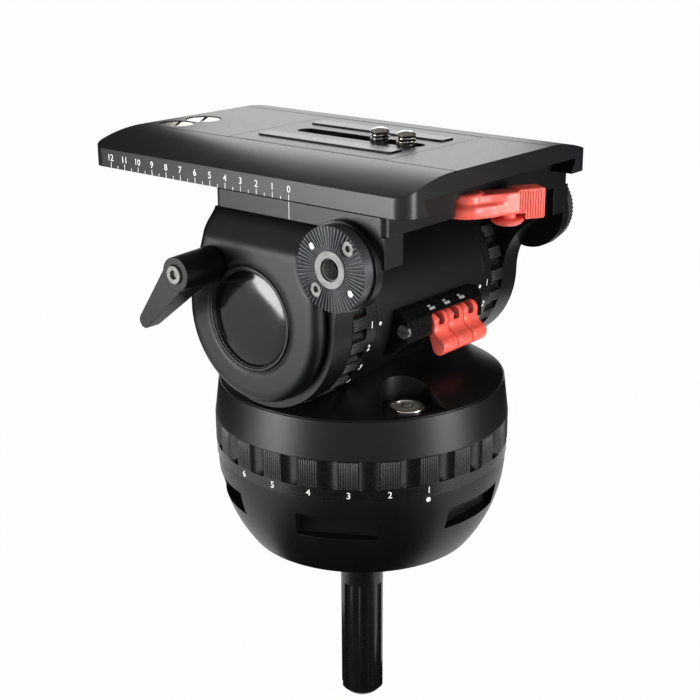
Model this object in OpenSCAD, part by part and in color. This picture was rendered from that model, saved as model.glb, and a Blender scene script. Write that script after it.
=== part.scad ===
// Fluid video head: levelling half-ball, pan base, tilt drum with two arms,
// and a long sliding camera plate.
// Frame: +Y is the lens direction, +X the operator's right, +Z up.
// Origin: centre of the levelling half-ball, on the pan axis.

/* [Levelling base] */
// Radius of the levelling half-ball
ball_r = 75; // [72:0.5:80]
// Depth of the half-ball below its centre
ball_depth = 46; // [42:1:54]
// Height of each window in the half-ball
window_h = 12; // [8:1:14]
// Width of each window in the half-ball
window_w = 40; // [30:1:44]
// Depth of each window in the half-ball
window_deep = 10; // [6:1:14]
// Smooth band above the windows
window_band = 10; // [6:1:12]
// Number of windows
window_count = 6; // [4:1:6]
// Radius of the tie-down stud
stud_r = 6; // [5:0.5:8]
// Radius of the clamp dish
dish_r = 34; // [28:1:40]
// Height of the clamp dish
dish_h = 9; // [7:1:14]
// Room for the bowl between half-ball and dish
bowl_room = 8; // [6:1:14]
// Radius of the tie-down handle
handle_r = 11.5; // [10.5:0.5:16]
// Length of the tie-down handle
handle_len = 85; // [70:1:110]

/* [Pan base] */
// Radius of the pan drag ring
pan_ring_r = 75.5; // [74:0.5:79]
// Height of the pan drag ring
pan_ring_h = 19.7; // [17:0.1:24]
// Height of its plain number band
number_band = 5.3; // [4:0.1:7]
// Radial wall of the pan drag ring
pan_ring_wall = 13.5; // [11:0.5:15]
// Number of grip pads on a drag ring
pad_count = 24; // [18:1:30]
// Depth of the hollow between two pads
hollow_deep = 1.8; // [1:0.1:2.4]
// Radius of the pan spindle
spindle_r = 16; // [13:0.5:18]
// Outer radius of the pan bearing
bearing_r = 24; // [21:0.5:26]
// Radius of the pan housing at its foot
housing_r = 75.8; // [75:0.1:79]
// Radius of the pan housing at its rim
rim_r = 73.4; // [71:0.1:75]
// Height of the pan housing's band
band_h = 19; // [17:0.5:24]
// Rise of the dome above the rim
dome_rise = 20.7; // [18:0.1:23]
// Distance of the bubble level from the pan axis
level_dist = 60; // [57:0.5:62]
// Direction of the bubble level, in degrees from +X
level_dir = 241; // [230:1:250]
// Outer radius of the bubble level
level_r = 8.5; // [7:0.5:10]

/* [Tilt drum] */
// Height of the tilt axis over the half-ball's centre
tilt_z = 86.7; // [85:0.1:95]
// Radius of the tilt drum, its drag rings and the arms' feet
drum_r = 45; // [43:0.5:48]
// Half length of the drum
drum_half = 42.2; // [40:0.1:46]
// Wall of the drum
drum_wall = 9; // [7:0.5:11]
// Width of a tilt drag ring
tilt_ring_w = 17.6; // [15:0.1:20]
// Radial wall of a tilt drag ring
tilt_ring_wall = 6; // [5:0.5:8]
// Radius of the tilt shaft
shaft_r = 12; // [10:0.5:13]
// Outer radius of a tilt bearing
tilt_bearing_r = 20; // [17:0.5:22]
// Half width of the balance block
block_half = 30; // [28:0.5:33]
// Depth of the balance block behind the drum
block_deep = 8; // [7:0.5:9]
// Pitch of the balance levers
lever_pitch = 12; // [11:0.1:13]
// Length of a balance lever, hub to tip
lever_len = 17; // [13:0.5:19]

/* [Arms] */
// Thickness of an arm
arm_t = 12.9; // [11:0.1:15]
// Thickness of a side cover
cover_t = 7.8; // [6.5:0.1:10]
// Radius of a side cover's round foot
cover_r = 41; // [38:0.5:42]
// Radius of the rounded edge of a side cover
cover_edge = 4; // [2:0.5:6]
// Radius of the badge disc on the left cover
badge_r = 22.5; // [19:0.5:25]
// Width of the badge's bezel
bezel_w = 2.8; // [2:0.1:4]
// Distance of a rosette behind the tilt axis
rosette_back = 52; // [50:0.1:54]
// Distance of a rosette above the tilt axis
rosette_up = 32.9; // [31:0.1:34]
// Radius of a rosette
rosette_r = 19.2; // [18.5:0.1:19.6]
// Thickness of a rosette
rosette_t = 6.5; // [6:0.1:8]
// Number of teeth on a rosette
tooth_count = 60; // [36:4:72]
// Share of the tooth pitch that a groove takes
groove_share = 0.9; // [0.6:0.05:0.95]
// Radius of a rosette's threaded bore
thread_r = 4.5; // [3:0.1:5]
// Wall of the threaded insert
insert_wall = 4.1; // [3:0.1:4.3]
// Distance of the rosette's screws from its centre
screw_dist = 14; // [13.5:0.1:14.5]

/* [Receiver and plate] */
// Room between the drum and the receiver's underside
yoke_clear = 3.1; // [2.6:0.1:6]
// Thickness of the receiver's edge
receiver_t = 8.5; // [8:0.1:11]
// Receiver's front end, ahead of the tilt axis
receiver_front = 28; // [24:1:32]
// Receiver's rear end, behind the tilt axis
receiver_rear = 73.7; // [72:0.1:80]
// Plate's front end, ahead of the tilt axis
plate_front = 116; // [105:1:130]
// Plate's rear end, behind the tilt axis
plate_rear = 85; // [80:1:95]
// Height of the plate
plate_h = 16.2; // [15.5:0.1:18]
// Height of the plate's upright side
plate_side = 9.2; // [8:0.1:11]
// Width of the plate's flat top
plate_flat = 77; // [70:1:84]
// Corner radius of the plate, seen from above
plate_corner = 8; // [4:0.5:12]
// Depth of the dovetail channel
channel_deep = 7.2; // [6.5:0.1:8]
// Half width of the dovetail channel at its mouth
channel_half = 57; // [54:0.5:59]
// How far the dovetail undercuts each side
undercut = 4; // [3:0.1:5]
// Thickness of the top panel
panel_t = 4; // [3.5:0.1:4.5]
// Front end of the top panel
panel_front = 54; // [50:1:58]
// Rear end of the top panel
panel_rear = 46; // [44:1:50]
// Front end of the camera screw slot
slot_front = 40; // [36:1:44]
// Rear end of the camera screw slot
slot_rear = 38; // [37:1:40]
// Radius of the camera screws' threads
camera_thread_r = 4.76; // [3:0.01:5]
// Height of the camera screws above the plate
screw_proud = 6.5; // [5:0.1:10]
// Width of a rubber strip
strip_w = 10; // [7:0.5:12]
// Distance of a rubber strip from the middle
strip_x = 20; // [17:0.5:24]
// How far a rubber strip stands proud
strip_proud = 0.8; // [0.4:0.1:1.5]
// Radius of a spare screw's head
spare_r = 8.8; // [7:0.1:9.5]

/* [Levers] */
// Radius of a brake lever's hub
brake_hub_r = 9; // [8:0.5:10]
// Length of a brake lever's hub
brake_hub_len = 24; // [20:1:30]
// Reach of a brake lever's blade
brake_reach = 39; // [34:1:48]
// Tilt brake's distance ahead of the tilt axis
brake_front = 23; // [21:0.5:25]
// Tilt brake's height above the tilt axis
brake_up = 22.3; // [19:0.1:24]
// Height of the pan brake over the half-ball's centre
pan_brake_z = 30; // [29.5:0.1:30.5]
// Direction of the pan brake, in degrees from +X
pan_brake_dir = 35; // [30:1:40]
// Radius of the plate lock lever's hub
lock_hub_r = 11; // [10:0.5:12]
// Place of the plate lock lever's pivot, left of the middle
lock_x = 11.5; // [8:0.5:16]
// Reach of the plate lock lever from pivot to grip
lock_reach = 38; // [36:1:42]
// Height of the lock lever's grip
grip_h = 15.5; // [13:0.5:17]
// Radius of the safety button
button_r = 8; // [6.5:0.5:9]
// Travel of the safety button
button_travel = 2; // [1.5:0.5:2]

/* [Fits] */
// Seam between pieces that turn or slide on each other
seam = 0.3; // [0.25:0.05:0.4]
// Radial running clearance of a shaft in its hole
run = 0.05; // [0.03:0.01:0.08]

/* [Hidden] */
$fn = 96;

// Spare length for cuts that run past a face
past = 1;
far = 200;

// Heights of the pan base
ring_z = seam;
housing_z = ring_z + pan_ring_h + seam;
rim_z = housing_z + band_h;
dome_z = rim_z + dome_rise;
dome_r = (rim_r * rim_r + dome_rise * dome_rise) / (2 * dome_rise);
ring_bore = pan_ring_r - pan_ring_wall;
case_r = ring_bore - run;
case_wall = 6;
case_floor = 3;
case_h = pan_ring_h - 2;
spindle_top = housing_z + 15;
bearing_h = 10;
level_z = rim_z + 1.1;

// Stations along the tilt axis, on either side
boss_out = drum_half + tilt_ring_w;
ring_in = drum_half + seam;
ring_out = ring_in + tilt_ring_w - seam;
arm_in = ring_out + seam;
arm_out = arm_in + arm_t;
cover_out = arm_out + cover_t;
ring_bore_r = drum_r - tilt_ring_wall;
boss_r = ring_bore_r - run;
boss_wall = 5;
drum_bore = drum_r - drum_wall;
web_half = 5;

// Heights of the yoke and the plate
receiver_z = tilt_z + drum_r + yoke_clear;
receiver_top = receiver_z + receiver_t;
plate_z = receiver_top + seam;
plate_top = plate_z + plate_h;
channel_top = plate_z + channel_deep;
rail_top = channel_top - seam;
shoulder_w = arm_out - plate_flat / 2;
shoulder_drop = plate_h - plate_side;
shoulder_r = (shoulder_w * shoulder_w + shoulder_drop * shoulder_drop) / (2 * shoulder_drop);
panel_z = plate_top - panel_t;

// Rosette stations
boss_len = 4;
rosette_in = arm_out + boss_len;
rosette_out = rosette_in + rosette_t;
rosette_y = -rosette_back;
rosette_z = tilt_z + rosette_up;
boss_lip = 1.2;
insert_r = thread_r + insert_wall;
insert_in = arm_out + 0.5;
tooth_deep = rosette_r * tan(groove_share * 180 / tooth_count);
rosette_screw_r = 3.4;
dowel_r = 1.7;

// Rear of the arms: a hollow curve from the drum's side out to the rear face
rear_face = receiver_rear;
rear_low = 34.3;
sweep_x = rear_face - drum_r;
sweep_r = (sweep_x * sweep_x + rear_low * rear_low) / (2 * sweep_x);

// Balance levers
pin_r = 1.6;
pin_y = -(drum_r + 5.2);
pin_z = tilt_z - 9;
lever_hub = 4.2;
lever_gap = 0.5;
bay_left = -11;
bay_right = bay_left + 3 * lever_pitch + lever_gap;
lever_dir = 246;
block_top = 0.8;
block_low = 22.5;
block_roof = 4.4;
ear_screw_r = 3.4;

// Brake levers
brake_stud_r = 4;
brake_screw_r = 4.2;
brake_y = brake_front;
brake_z = tilt_z + brake_up;
brake_slope = -49;
brake_neck = 1.2;
brake_neck_r = 5.5;
brake_stud_in = 6;
blade_t = 18;

// Plate lock
lock_y = -(receiver_rear - 2.9);
lock_pin_r = 2.2;
lock_head_r = 5;
lock_head_h = 1.8;
lock_top = receiver_top - 0.7;
lock_low = receiver_z - 1.6;
lock_slope = -30;
pocket_r = lock_hub_r + 0.7;
grip_len = 14;
grip_drop = 2.8;
grip_x = lock_reach - grip_len;
lock_front = 3.5;
lock_back = -6.5;
jaw_front = -5;
jaw_rear = -58;
jaw_w = 14;
jaw_travel = 1;

// Safety button, under the lock lever's arm
button_at = [grip_x - 3.5, -2.5];
button_stem = 3;
button_stem_in = 4;
button_h = 3.4;

// Camera screws
slider_half = 8.5;
slider_len = 12;
slider_t = 2;
screw_head_h = 2.2;
screw_neck_r = 4.1;
neck_top = plate_top + 0.4;
screw_front_y = -12;
screw_rear_y = -28;
spare_y = plate_front - 14;
spare_x = [-27, -8];
spare_deep = 2.6;

// Handle and stud under the half-ball
dish_top = -ball_depth - bowl_room;
handle_top = dish_top - dish_h - seam;
stud_root = -18;
stud_low = handle_top - handle_len + 28;

// Turns its shape, drawn in the Y-Z plane, into a slab between two X stations
module slab_x(x0, x1) {
  translate([x0, 0, 0]) rotate([90, 0, 90]) linear_extrude(x1 - x0) children();
}

// A round rod along X
module rod_x(r, x0, x1) {
  translate([x0, 0, 0]) rotate([0, 90, 0]) cylinder(r = r, h = x1 - x0);
}

// A ring along X
module tube_x(r_out, r_in, x0, x1) {
  difference() {
    rod_x(r_out, x0, x1);
    rod_x(r_in, x0 - past, x1 + past);
  }
}

// Puts a right-hand piece on the left as well as, or instead of, the right
module on_side(side) {
  mirror([side < 0 ? 1 : 0, 0, 0]) children();
}

module at_tilt() {
  translate([0, 0, tilt_z]) children();
}

module at_rosette(x) {
  translate([x, rosette_y, rosette_z]) children();
}

// A rectangle with round corners, by its edges
module round_rect(x0, x1, y0, y1, r) {
  translate([x0 + r, y0]) square([x1 - x0 - 2 * r, y1 - y0]);
  translate([x0, y0 + r]) square([x1 - x0, y1 - y0 - 2 * r]);
  for (x = [x0 + r, x1 - r], y = [y0 + r, y1 - r]) translate([x, y]) circle(r = r);
}

// Levelling base

module half_ball() {
  color("#2b2b2d") difference() {
    intersection() {
      sphere(r = ball_r);
      translate([0, 0, -ball_depth]) cylinder(r = ball_r + past, h = ball_depth);
    }
    for (i = [0 : window_count - 1])
      rotate([0, 0, 30 + 360 * i / window_count])
        translate([ball_r - window_deep, -window_w / 2, -window_band - window_h])
          cube([far, window_w, window_h]);
    translate([0, 0, -ball_depth - past]) cylinder(r = stud_r, h = ball_depth + stud_root + past);
  }
}

module pan_drag_case() {
  color("#8c8c90") difference() {
    union() {
      cylinder(r = case_r, h = case_h);
      cylinder(r = spindle_r, h = spindle_top);
    }
    translate([0, 0, case_floor]) difference() {
      cylinder(r = case_r - case_wall, h = case_h);
      cylinder(r = spindle_r, h = case_h);
    }
  }
}

// Discs of the drag stack: the fixed ones sit between the turning ones
stack_pitch = 4;
disc_t = 1.5;
rotor_hub_wall = 6;
rotor_hub_r = spindle_r + rotor_hub_wall;
rotor_r = case_r - case_wall - 2;

module pan_drag_stators() {
  color("#b9b9bd") for (i = [0 : 2])
    translate([0, 0, case_floor + 1.2 + i * stack_pitch]) difference() {
      cylinder(r = case_r - case_wall - run, h = disc_t);
      translate([0, 0, -past]) cylinder(r = rotor_hub_r + 1.5, h = disc_t + 2 * past);
    }
}

module pan_drag_rotor() {
  rotor_z = case_floor + 0.6;
  color("#a5a5aa") difference() {
    union() {
      translate([0, 0, rotor_z]) cylinder(r = rotor_hub_r, h = housing_z - rotor_z);
      for (i = [0 : 1])
        translate([0, 0, case_floor + 1.2 + disc_t + i * stack_pitch + 0.5])
          cylinder(r = rotor_r, h = disc_t);
    }
    translate([0, 0, -past]) cylinder(r = spindle_r + run, h = far);
  }
}

module tie_down_stud() {
  color("silver") translate([0, 0, stud_low]) cylinder(r = stud_r, h = stud_root - stud_low);
}

module clamp_dish() {
  lip = 3;
  hub = handle_r + 3;
  color("#2b2b2d") translate([0, 0, dish_top - dish_h]) rotate_extrude()
    polygon([[stud_r + run, 0], [hub, 0], [dish_r, dish_h - lip], [dish_r, dish_h],
      [dish_r - lip, dish_h], [hub + 2, lip + 1], [stud_r + run, lip + 1]]);
}

module tie_down_handle() {
  flute_r = 4;
  flute_deep = 1.6;
  collar = 8;
  nose = 3;
  color("#1c1c1e") difference() {
    translate([0, 0, handle_top - handle_len]) rotate_extrude()
      polygon([[0, 0], [handle_r - nose, 0], [handle_r, nose], [handle_r, handle_len - collar],
        [handle_r + 1.5, handle_len - collar + 1.5], [handle_r + 1.5, handle_len], [0, handle_len]]);
    for (i = [0 : 7])
      rotate([0, 0, 45 * i])
        translate([handle_r + flute_r - flute_deep, 0, handle_top - handle_len - past])
          cylinder(r = flute_r, h = handle_len - 2 * collar);
    translate([0, 0, stud_low - 10]) cylinder(r = stud_r + run, h = far);
  }
}

// Pan base

// Hollows between the grip pads of a drag ring with its axis along Z
module pad_hollows(r, z0, z1) {
  pitch_len = 2 * PI * r / pad_count;
  half = pitch_len / 4;
  cutter = (half * half + hollow_deep * hollow_deep) / (2 * hollow_deep);
  for (i = [0 : pad_count - 1])
    rotate([0, 0, 360 * (i + 0.5) / pad_count])
      translate([r - hollow_deep + cutter, 0, z0]) cylinder(r = cutter, h = z1 - z0);
}

module pan_drag_ring() {
  color("#1a1a1c") difference() {
    translate([0, 0, ring_z]) cylinder(r = pan_ring_r, h = pan_ring_h);
    translate([0, 0, ring_z - past]) cylinder(r = ring_bore, h = pan_ring_h + 2 * past);
    rotate([0, 0, 5]) pad_hollows(pan_ring_r, ring_z + number_band, ring_z + pan_ring_h + past);
  }
}

// Scoop in the dome that shows the bubble level, open towards the rim
module level_scoop() {
  scoop_r = level_r + 4.5;
  mouth = 7;
  reach = rim_r + past - level_dist;
  rotate([0, 0, level_dir]) translate([level_dist, 0, level_z]) {
    cylinder(r = scoop_r, h = far);
    linear_extrude(far) polygon([[0, -scoop_r], [reach + 5, -scoop_r - mouth],
      [reach + 5, scoop_r + mouth], [0, scoop_r]]);
  }
}

module at_pan_brake() {
  rotate([0, 0, pan_brake_dir]) translate([0, 0, pan_brake_z]) children();
}

brake_hole_deep = 12;

module pan_housing() {
  lip = 0.8;
  color("#29292b") difference() {
    union() {
      translate([0, 0, housing_z]) cylinder(r1 = housing_r, r2 = rim_r, h = band_h);
      rotate_extrude() intersection() {
        translate([0, dome_z - dome_r]) circle(r = dome_r, $fn = 720);
        translate([0, rim_z - past]) square([rim_r - lip, dome_rise + 2 * past]);
      }
    }
    translate([0, 0, housing_z - past])
      cylinder(r = bearing_r, h = spindle_top - housing_z + past + seam);
    at_tilt() {
      rod_x(drum_r, -drum_half - seam / 2, drum_half + seam / 2);
      rod_x(drum_r + 2 * seam, -arm_in, -drum_half - seam / 2);
      rod_x(drum_r + 2 * seam, drum_half + seam / 2, arm_in);
      rod_x(drum_r + 4 * seam, arm_in - seam, far);
      rod_x(drum_r + 4 * seam, -far, -arm_in + seam);
    }
    level_scoop();
    at_pan_brake() rod_x(brake_stud_r + run, rim_r - brake_hole_deep, far);
    at_pan_brake() rod_x(brake_hub_r + 1.2, rim_r + 0.4, far);
  }
}

module pan_bearing() {
  color("silver") translate([0, 0, spindle_top - bearing_h]) difference() {
    cylinder(r = bearing_r, h = bearing_h);
    translate([0, 0, -past]) cylinder(r = spindle_r + run, h = bearing_h + 2 * past);
  }
}

module at_level() {
  rotate([0, 0, level_dir]) translate([level_dist, 0, level_z]) children();
}

bezel_t = 2.2;
bezel_h = 2.6;

module level_bezel() {
  color("silver") at_level() rotate_extrude()
    polygon([[level_r - bezel_t, 0], [level_r, 0], [level_r, bezel_h - 0.8],
      [level_r - 0.8, bezel_h], [level_r - bezel_t, bezel_h - 0.6]]);
}

module level_vial() {
  color("#c8d070") at_level() cylinder(r = level_r - bezel_t - run, h = bezel_h - 0.8);
}

// A brake lever along +X with its foot on the station x0: stud, hub and wedge blade
module brake_lever(x0, stud_len, slope) {
  tip_r = 3.6;
  tip_t = 7;
  end_x = x0 + brake_hub_len;
  face_x = end_x - 0.6;
  rod_x(brake_stud_r, x0 - stud_len, x0 + past);
  difference() {
    union() {
      rod_x(brake_neck_r, x0, x0 + brake_neck + past);
      translate([x0 + brake_neck, 0, 0]) rotate([0, 90, 0])
        cylinder(r1 = brake_hub_r, r2 = brake_hub_r - 1, h = brake_hub_len - brake_neck);
      rotate([slope, 0, 0]) hull() {
        rod_x(brake_hub_r - 1.6, end_x - blade_t, face_x, $fn = 32);
        translate([0, brake_reach - tip_r, 0]) rod_x(tip_r, face_x - tip_t, face_x, $fn = 32);
      }
    }
    rod_x(brake_screw_r + 0.4, end_x - 3, far);
  }
}

// The screw in the end of a brake lever's hub, with a hexagon socket
module brake_screw(x0) {
  head = 4.2;
  difference() {
    rod_x(brake_screw_r, x0 + brake_hub_len - 3, x0 + brake_hub_len - 3 + head);
    translate([x0 + brake_hub_len - 0.6, 0, 0]) rotate([0, 90, 0])
      cylinder(r = 2.4, h = far, $fn = 6);
  }
}

module pan_brake_lever() {
  color("#1c1c1e") at_pan_brake() brake_lever(rim_r + 0.4 + seam, brake_hole_deep - past, 180);
}

module pan_brake_screw() {
  color("silver") at_pan_brake() brake_screw(rim_r + 0.4 + seam);
}

// Tilt drum

module tilt_drum() {
  color("#2a2a2c") at_tilt() rotate([0, 90, 0]) rotate_extrude()
    polygon([[shaft_r, -web_half], [drum_bore, -web_half], [drum_bore, -drum_half + drum_wall],
      [boss_r - boss_wall, -drum_half + drum_wall], [boss_r - boss_wall, -boss_out],
      [boss_r, -boss_out], [boss_r, -drum_half], [drum_r, -drum_half],
      [drum_r, drum_half], [boss_r, drum_half], [boss_r, boss_out],
      [boss_r - boss_wall, boss_out], [boss_r - boss_wall, drum_half - drum_wall],
      [drum_bore, drum_half - drum_wall], [drum_bore, web_half], [shaft_r, web_half]]);
}

module tilt_shaft() {
  color("silver") at_tilt() rod_x(shaft_r, -arm_out + past, arm_out - past);
}

module balance_springs() {
  spring_in = shaft_r + 4;
  color("#9a9aa0") at_tilt() for (s = [-1, 1]) on_side(s)
    tube_x(drum_bore - seam, spring_in, web_half, drum_half - drum_wall - seam);
}

module at_lever_pin() {
  translate([0, pin_y, pin_z]) children();
}

module balance_block() {
  chin = 6;
  color("#161618") difference() {
    slab_x(-block_half, block_half) difference() {
      translate([0, tilt_z]) polygon([[-drum_r + chin, block_top], [-drum_r - 4, block_top],
        [-drum_r - block_deep, block_top - 4.5], [-drum_r - block_deep, block_top - 15],
        [-drum_r + 2, -block_low], [-drum_r + chin + 2, -block_low]]);
      translate([0, tilt_z]) circle(r = drum_r);
    }
    translate([bay_left, -far, -far + tilt_z + block_top - block_roof])
      cube([bay_right - bay_left, far - drum_r + 0.6, far]);
    at_lever_pin() rod_x(pin_r, -far, far);
    at_lever_pin() rod_x(ear_screw_r + run, -far, -block_half + 2);
  }
}

module lever_pin() {
  slot_w = 1.2;
  color("silver") at_lever_pin() difference() {
    union() {
      rod_x(pin_r, -block_half + past, block_half);
      rod_x(ear_screw_r, -block_half + 0.2, -block_half + 2);
    }
    translate([-block_half - past, -far, -slot_w / 2]) cube([past + 1, 2 * far, slot_w]);
  }
}

// One red lever: hub on the pin and a blade that hangs down and out
module balance_lever(i) {
  x0 = bay_left + lever_gap + i * lever_pitch;
  tip_r = 2.6;
  thumb = 1.4;
  color("#d9342b") at_lever_pin() difference() {
    slab_x(x0, x0 + lever_pitch - lever_gap) {
      circle(r = lever_hub);
      rotate(lever_dir) translate([0, -tip_r]) square([lever_len - tip_r, 2 * tip_r]);
      rotate(lever_dir) translate([lever_len - tip_r, 0]) circle(r = tip_r);
      rotate(lever_dir) translate([lever_len - 6, -tip_r - thumb]) circle(r = 2.4);
    }
    rod_x(pin_r + run, -far, far);
    translate([x0 + lever_pitch / 2 - 1.6, 0, 0]) rotate([lever_dir, 0, 0])
      translate([0, 4.6, -far]) cube([2.8, 4.5, far]);
  }
}

module balance_lever_1() {
  balance_lever(0);
}

module balance_lever_2() {
  balance_lever(1);
}

module balance_lever_3() {
  balance_lever(2);
}

// A tilt drag ring on the right: plain number band by the drum, grip pads outside
module tilt_drag_ring() {
  at_tilt() rotate([0, 90, 0]) difference() {
    translate([0, 0, ring_in]) cylinder(r = drum_r, h = ring_out - ring_in);
    translate([0, 0, ring_in - past]) cylinder(r = ring_bore_r, h = tilt_ring_w + 2 * past);
    pad_hollows(drum_r, ring_in + number_band + 2, ring_out + past);
  }
}

module tilt_drag_ring_left() {
  color("#1a1a1c") on_side(-1) tilt_drag_ring();
}

module tilt_drag_ring_right() {
  color("#1a1a1c") tilt_drag_ring();
}

// Arms and covers

// Side outline of an arm in the Y-Z plane
module arm_outline() {
  lean = receiver_z - tilt_z;
  span = sqrt(receiver_front * receiver_front + lean * lean);
  touch = atan2(lean, receiver_front) - acos(drum_r / span);
  difference() {
    union() {
      translate([0, tilt_z]) circle(r = drum_r);
      translate([0, tilt_z]) polygon([[0, 0], [drum_r * cos(touch), drum_r * sin(touch)],
        [receiver_front, lean], [-rear_face, lean], [-rear_face, 0]]);
    }
    translate([-drum_r - sweep_r, tilt_z]) circle(r = sweep_r);
    translate([-rear_face - far, tilt_z - far]) square([far + rear_face - drum_r, far]);
  }
}

module arm() {
  difference() {
    union() {
      slab_x(arm_in, arm_out) arm_outline();
      at_rosette(0) rod_x(rosette_r + boss_lip, arm_out - past, rosette_in);
    }
    at_tilt() rod_x(tilt_bearing_r, arm_in - past, arm_out + past);
    translate([arm_in - past, -far, receiver_z]) cube([arm_t + past, 2 * far, far]);
  }
}

module arm_left() {
  color("#303033") difference() {
    on_side(-1) arm();
    translate([0, brake_y, brake_z]) rod_x(brake_stud_r + run, -far, -arm_in - 2);
    rosette_holes(-1);
  }
}

module arm_right() {
  color("#303033") difference() {
    arm();
    rosette_holes(1);
  }
}

// Section through a cover's side: depth from the side along X, height of the cover along Y
module cover_section(depth) {
  square([depth, cover_t - cover_edge]);
  translate([cover_edge, 0]) square([depth - cover_edge, cover_t]);
  intersection() {
    translate([cover_edge, cover_t - cover_edge]) circle(r = cover_edge);
    square([2 * cover_edge, cover_t]);
  }
}

// A straight side of a cover that touches its round foot at an angle
module cover_side(angle) {
  rotate([angle, 0, 0]) translate([arm_out, 0, -far]) linear_extrude(2 * far)
    translate([0, cover_r]) rotate(-90) cover_section(far);
}

// Round foot, straight sides that run up to the receiver, and a slope at the top
module side_cover() {
  slope_h = 14;
  lip = 0.6;
  lean = receiver_z - tilt_z;
  top_front = receiver_front - 1;
  touch = atan2(lean, top_front) - acos(cover_r / norm([top_front, lean]));
  difference() {
    at_tilt() {
      translate([arm_out, 0, 0]) rotate([0, 90, 0]) rotate_extrude()
        translate([cover_r, 0]) mirror([1, 0]) cover_section(cover_r);
      intersection() {
        cover_side(touch);
        cover_side(180);
        slab_x(arm_out, cover_out) polygon([[0, 0], [far * cos(touch), far * sin(touch)],
          [far, far], [-far, far], [-far, 0]]);
      }
    }
    translate([arm_out + lip, -far, receiver_z]) rotate([0, -atan2(cover_t - lip, slope_h), 0])
      translate([0, 0, -far]) cube([far, 2 * far, 2 * far]);
    translate([arm_out - past, -far, receiver_z]) cube([far, 2 * far, far]);
    at_rosette(0) rod_x(rosette_r + boss_lip + seam, arm_out - past, far);
  }
}

badge_deep = 3;

module side_cover_left() {
  color("#303033") difference() {
    on_side(-1) side_cover();
    at_tilt() rod_x(badge_r + bezel_w, -far, -cover_out + badge_deep);
    translate([0, brake_y, brake_z]) rod_x(brake_neck_r + 0.5, -far, -cover_out + 0.4);
    translate([0, brake_y, brake_z]) rod_x(brake_stud_r + run, -far, -arm_out + past);
  }
}

module side_cover_right() {
  color("#303033") side_cover();
}

module badge_bezel() {
  proud = 0.8;
  color("#3a3a3d") on_side(-1) at_tilt() rotate([0, 90, 0]) translate([0, 0, cover_out - badge_deep])
    rotate_extrude() polygon([[badge_r, 0], [badge_r + bezel_w, 0], [badge_r + bezel_w, badge_deep],
      [badge_r + bezel_w - 0.6, badge_deep + proud], [badge_r + bezel_w / 2, badge_deep + proud],
      [badge_r + bezel_w / 2 - 0.3, badge_deep], [badge_r + 0.5, badge_deep + 0.3],
      [badge_r, badge_deep - 0.6]]);
}

module badge_disc() {
  crown = 1.4;
  disc_h = 2;
  cap_r = (badge_r * badge_r + crown * crown) / (2 * crown);
  color("#0c0c0e") on_side(-1) at_tilt() translate([cover_out - badge_deep, 0, 0]) rotate([0, 90, 0])
    rotate_extrude() intersection() {
      square([badge_r - run, disc_h + crown]);
      translate([0, disc_h + crown - cap_r]) circle(r = cap_r, $fn = 720);
    }
}

// Rosettes

// Places of a rosette's two screws and two dowels round its centre
screw_turn = [131, 311];
dowel_turn = [39, 219];
dowel_len = 9;
screw_len = 9.5;
screw_head_x = rosette_out - tooth_deep - 0.2;

module around_rosette(turns, dist) {
  for (turn = turns)
    at_rosette(0) rotate([turn, 0, 0]) translate([0, dist, 0]) children();
}

module rosette_holes(side) {
  on_side(side) {
    around_rosette(screw_turn, screw_dist) rod_x(rosette_screw_r - 1, rosette_out - screw_len, far);
    around_rosette(dowel_turn, screw_dist) rod_x(dowel_r, rosette_out - dowel_len, far);
    at_rosette(0) rod_x(insert_r, insert_in, far);
  }
}

// Radial V grooves that widen and deepen towards the rim
module teeth() {
  lean = atan2(tooth_deep, rosette_r);
  wide = tooth_deep * sqrt(2) + 0.1;
  for (i = [0 : tooth_count - 1])
    at_rosette(rosette_out) rotate([360 * i / tooth_count, 0, 0]) rotate([0, 0, lean])
      rotate([0, 45, 0]) translate([0, insert_r - 0.5, 0])
        cube([wide, rosette_r - insert_r + 2, wide]);
}

module rosette(side) {
  on_side(side) difference() {
    at_rosette(0) rod_x(rosette_r, rosette_in, rosette_out);
    at_rosette(0) rod_x(insert_r, rosette_in - past, rosette_out + past);
    around_rosette(screw_turn, screw_dist) rod_x(rosette_screw_r + run, screw_head_x - 3, far);
    around_rosette(screw_turn, screw_dist) rod_x(rosette_screw_r - 1, rosette_in - past, far);
    around_rosette(dowel_turn, screw_dist) rod_x(dowel_r, rosette_in - past, far);
    teeth();
  }
}

module rosette_left() {
  color("#3c3c3f") rosette(-1);
}

module rosette_right() {
  color("#3c3c3f") rosette(1);
}

module rosette_insert(side) {
  on_side(side) at_rosette(0) tube_x(insert_r, thread_r, insert_in, rosette_out + 0.4);
}

module rosette_insert_left() {
  color("silver") rosette_insert(-1);
}

module rosette_insert_right() {
  color("silver") rosette_insert(1);
}

module rosette_screws() {
  color("silver") for (side = [-1, 1]) on_side(side) difference() {
    around_rosette(screw_turn, screw_dist) union() {
      rod_x(rosette_screw_r, screw_head_x - 3, screw_head_x);
      rod_x(rosette_screw_r - 1, rosette_out - screw_len, screw_head_x - 3);
    }
    around_rosette(screw_turn, screw_dist) translate([screw_head_x - 1.8, 0, 0]) rotate([0, 90, 0])
      cylinder(r = 1.6, h = far, $fn = 6);
  }
}

module rosette_dowels() {
  color("white") for (side = [-1, 1]) on_side(side)
    around_rosette(dowel_turn, screw_dist)
      rod_x(dowel_r, rosette_out - dowel_len, screw_head_x + 0.4);
}

module tilt_bearings() {
  color("silver") at_tilt() for (side = [-1, 1]) on_side(side)
    tube_x(tilt_bearing_r, shaft_r + run, arm_in + 1.5, arm_out);
}

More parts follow.
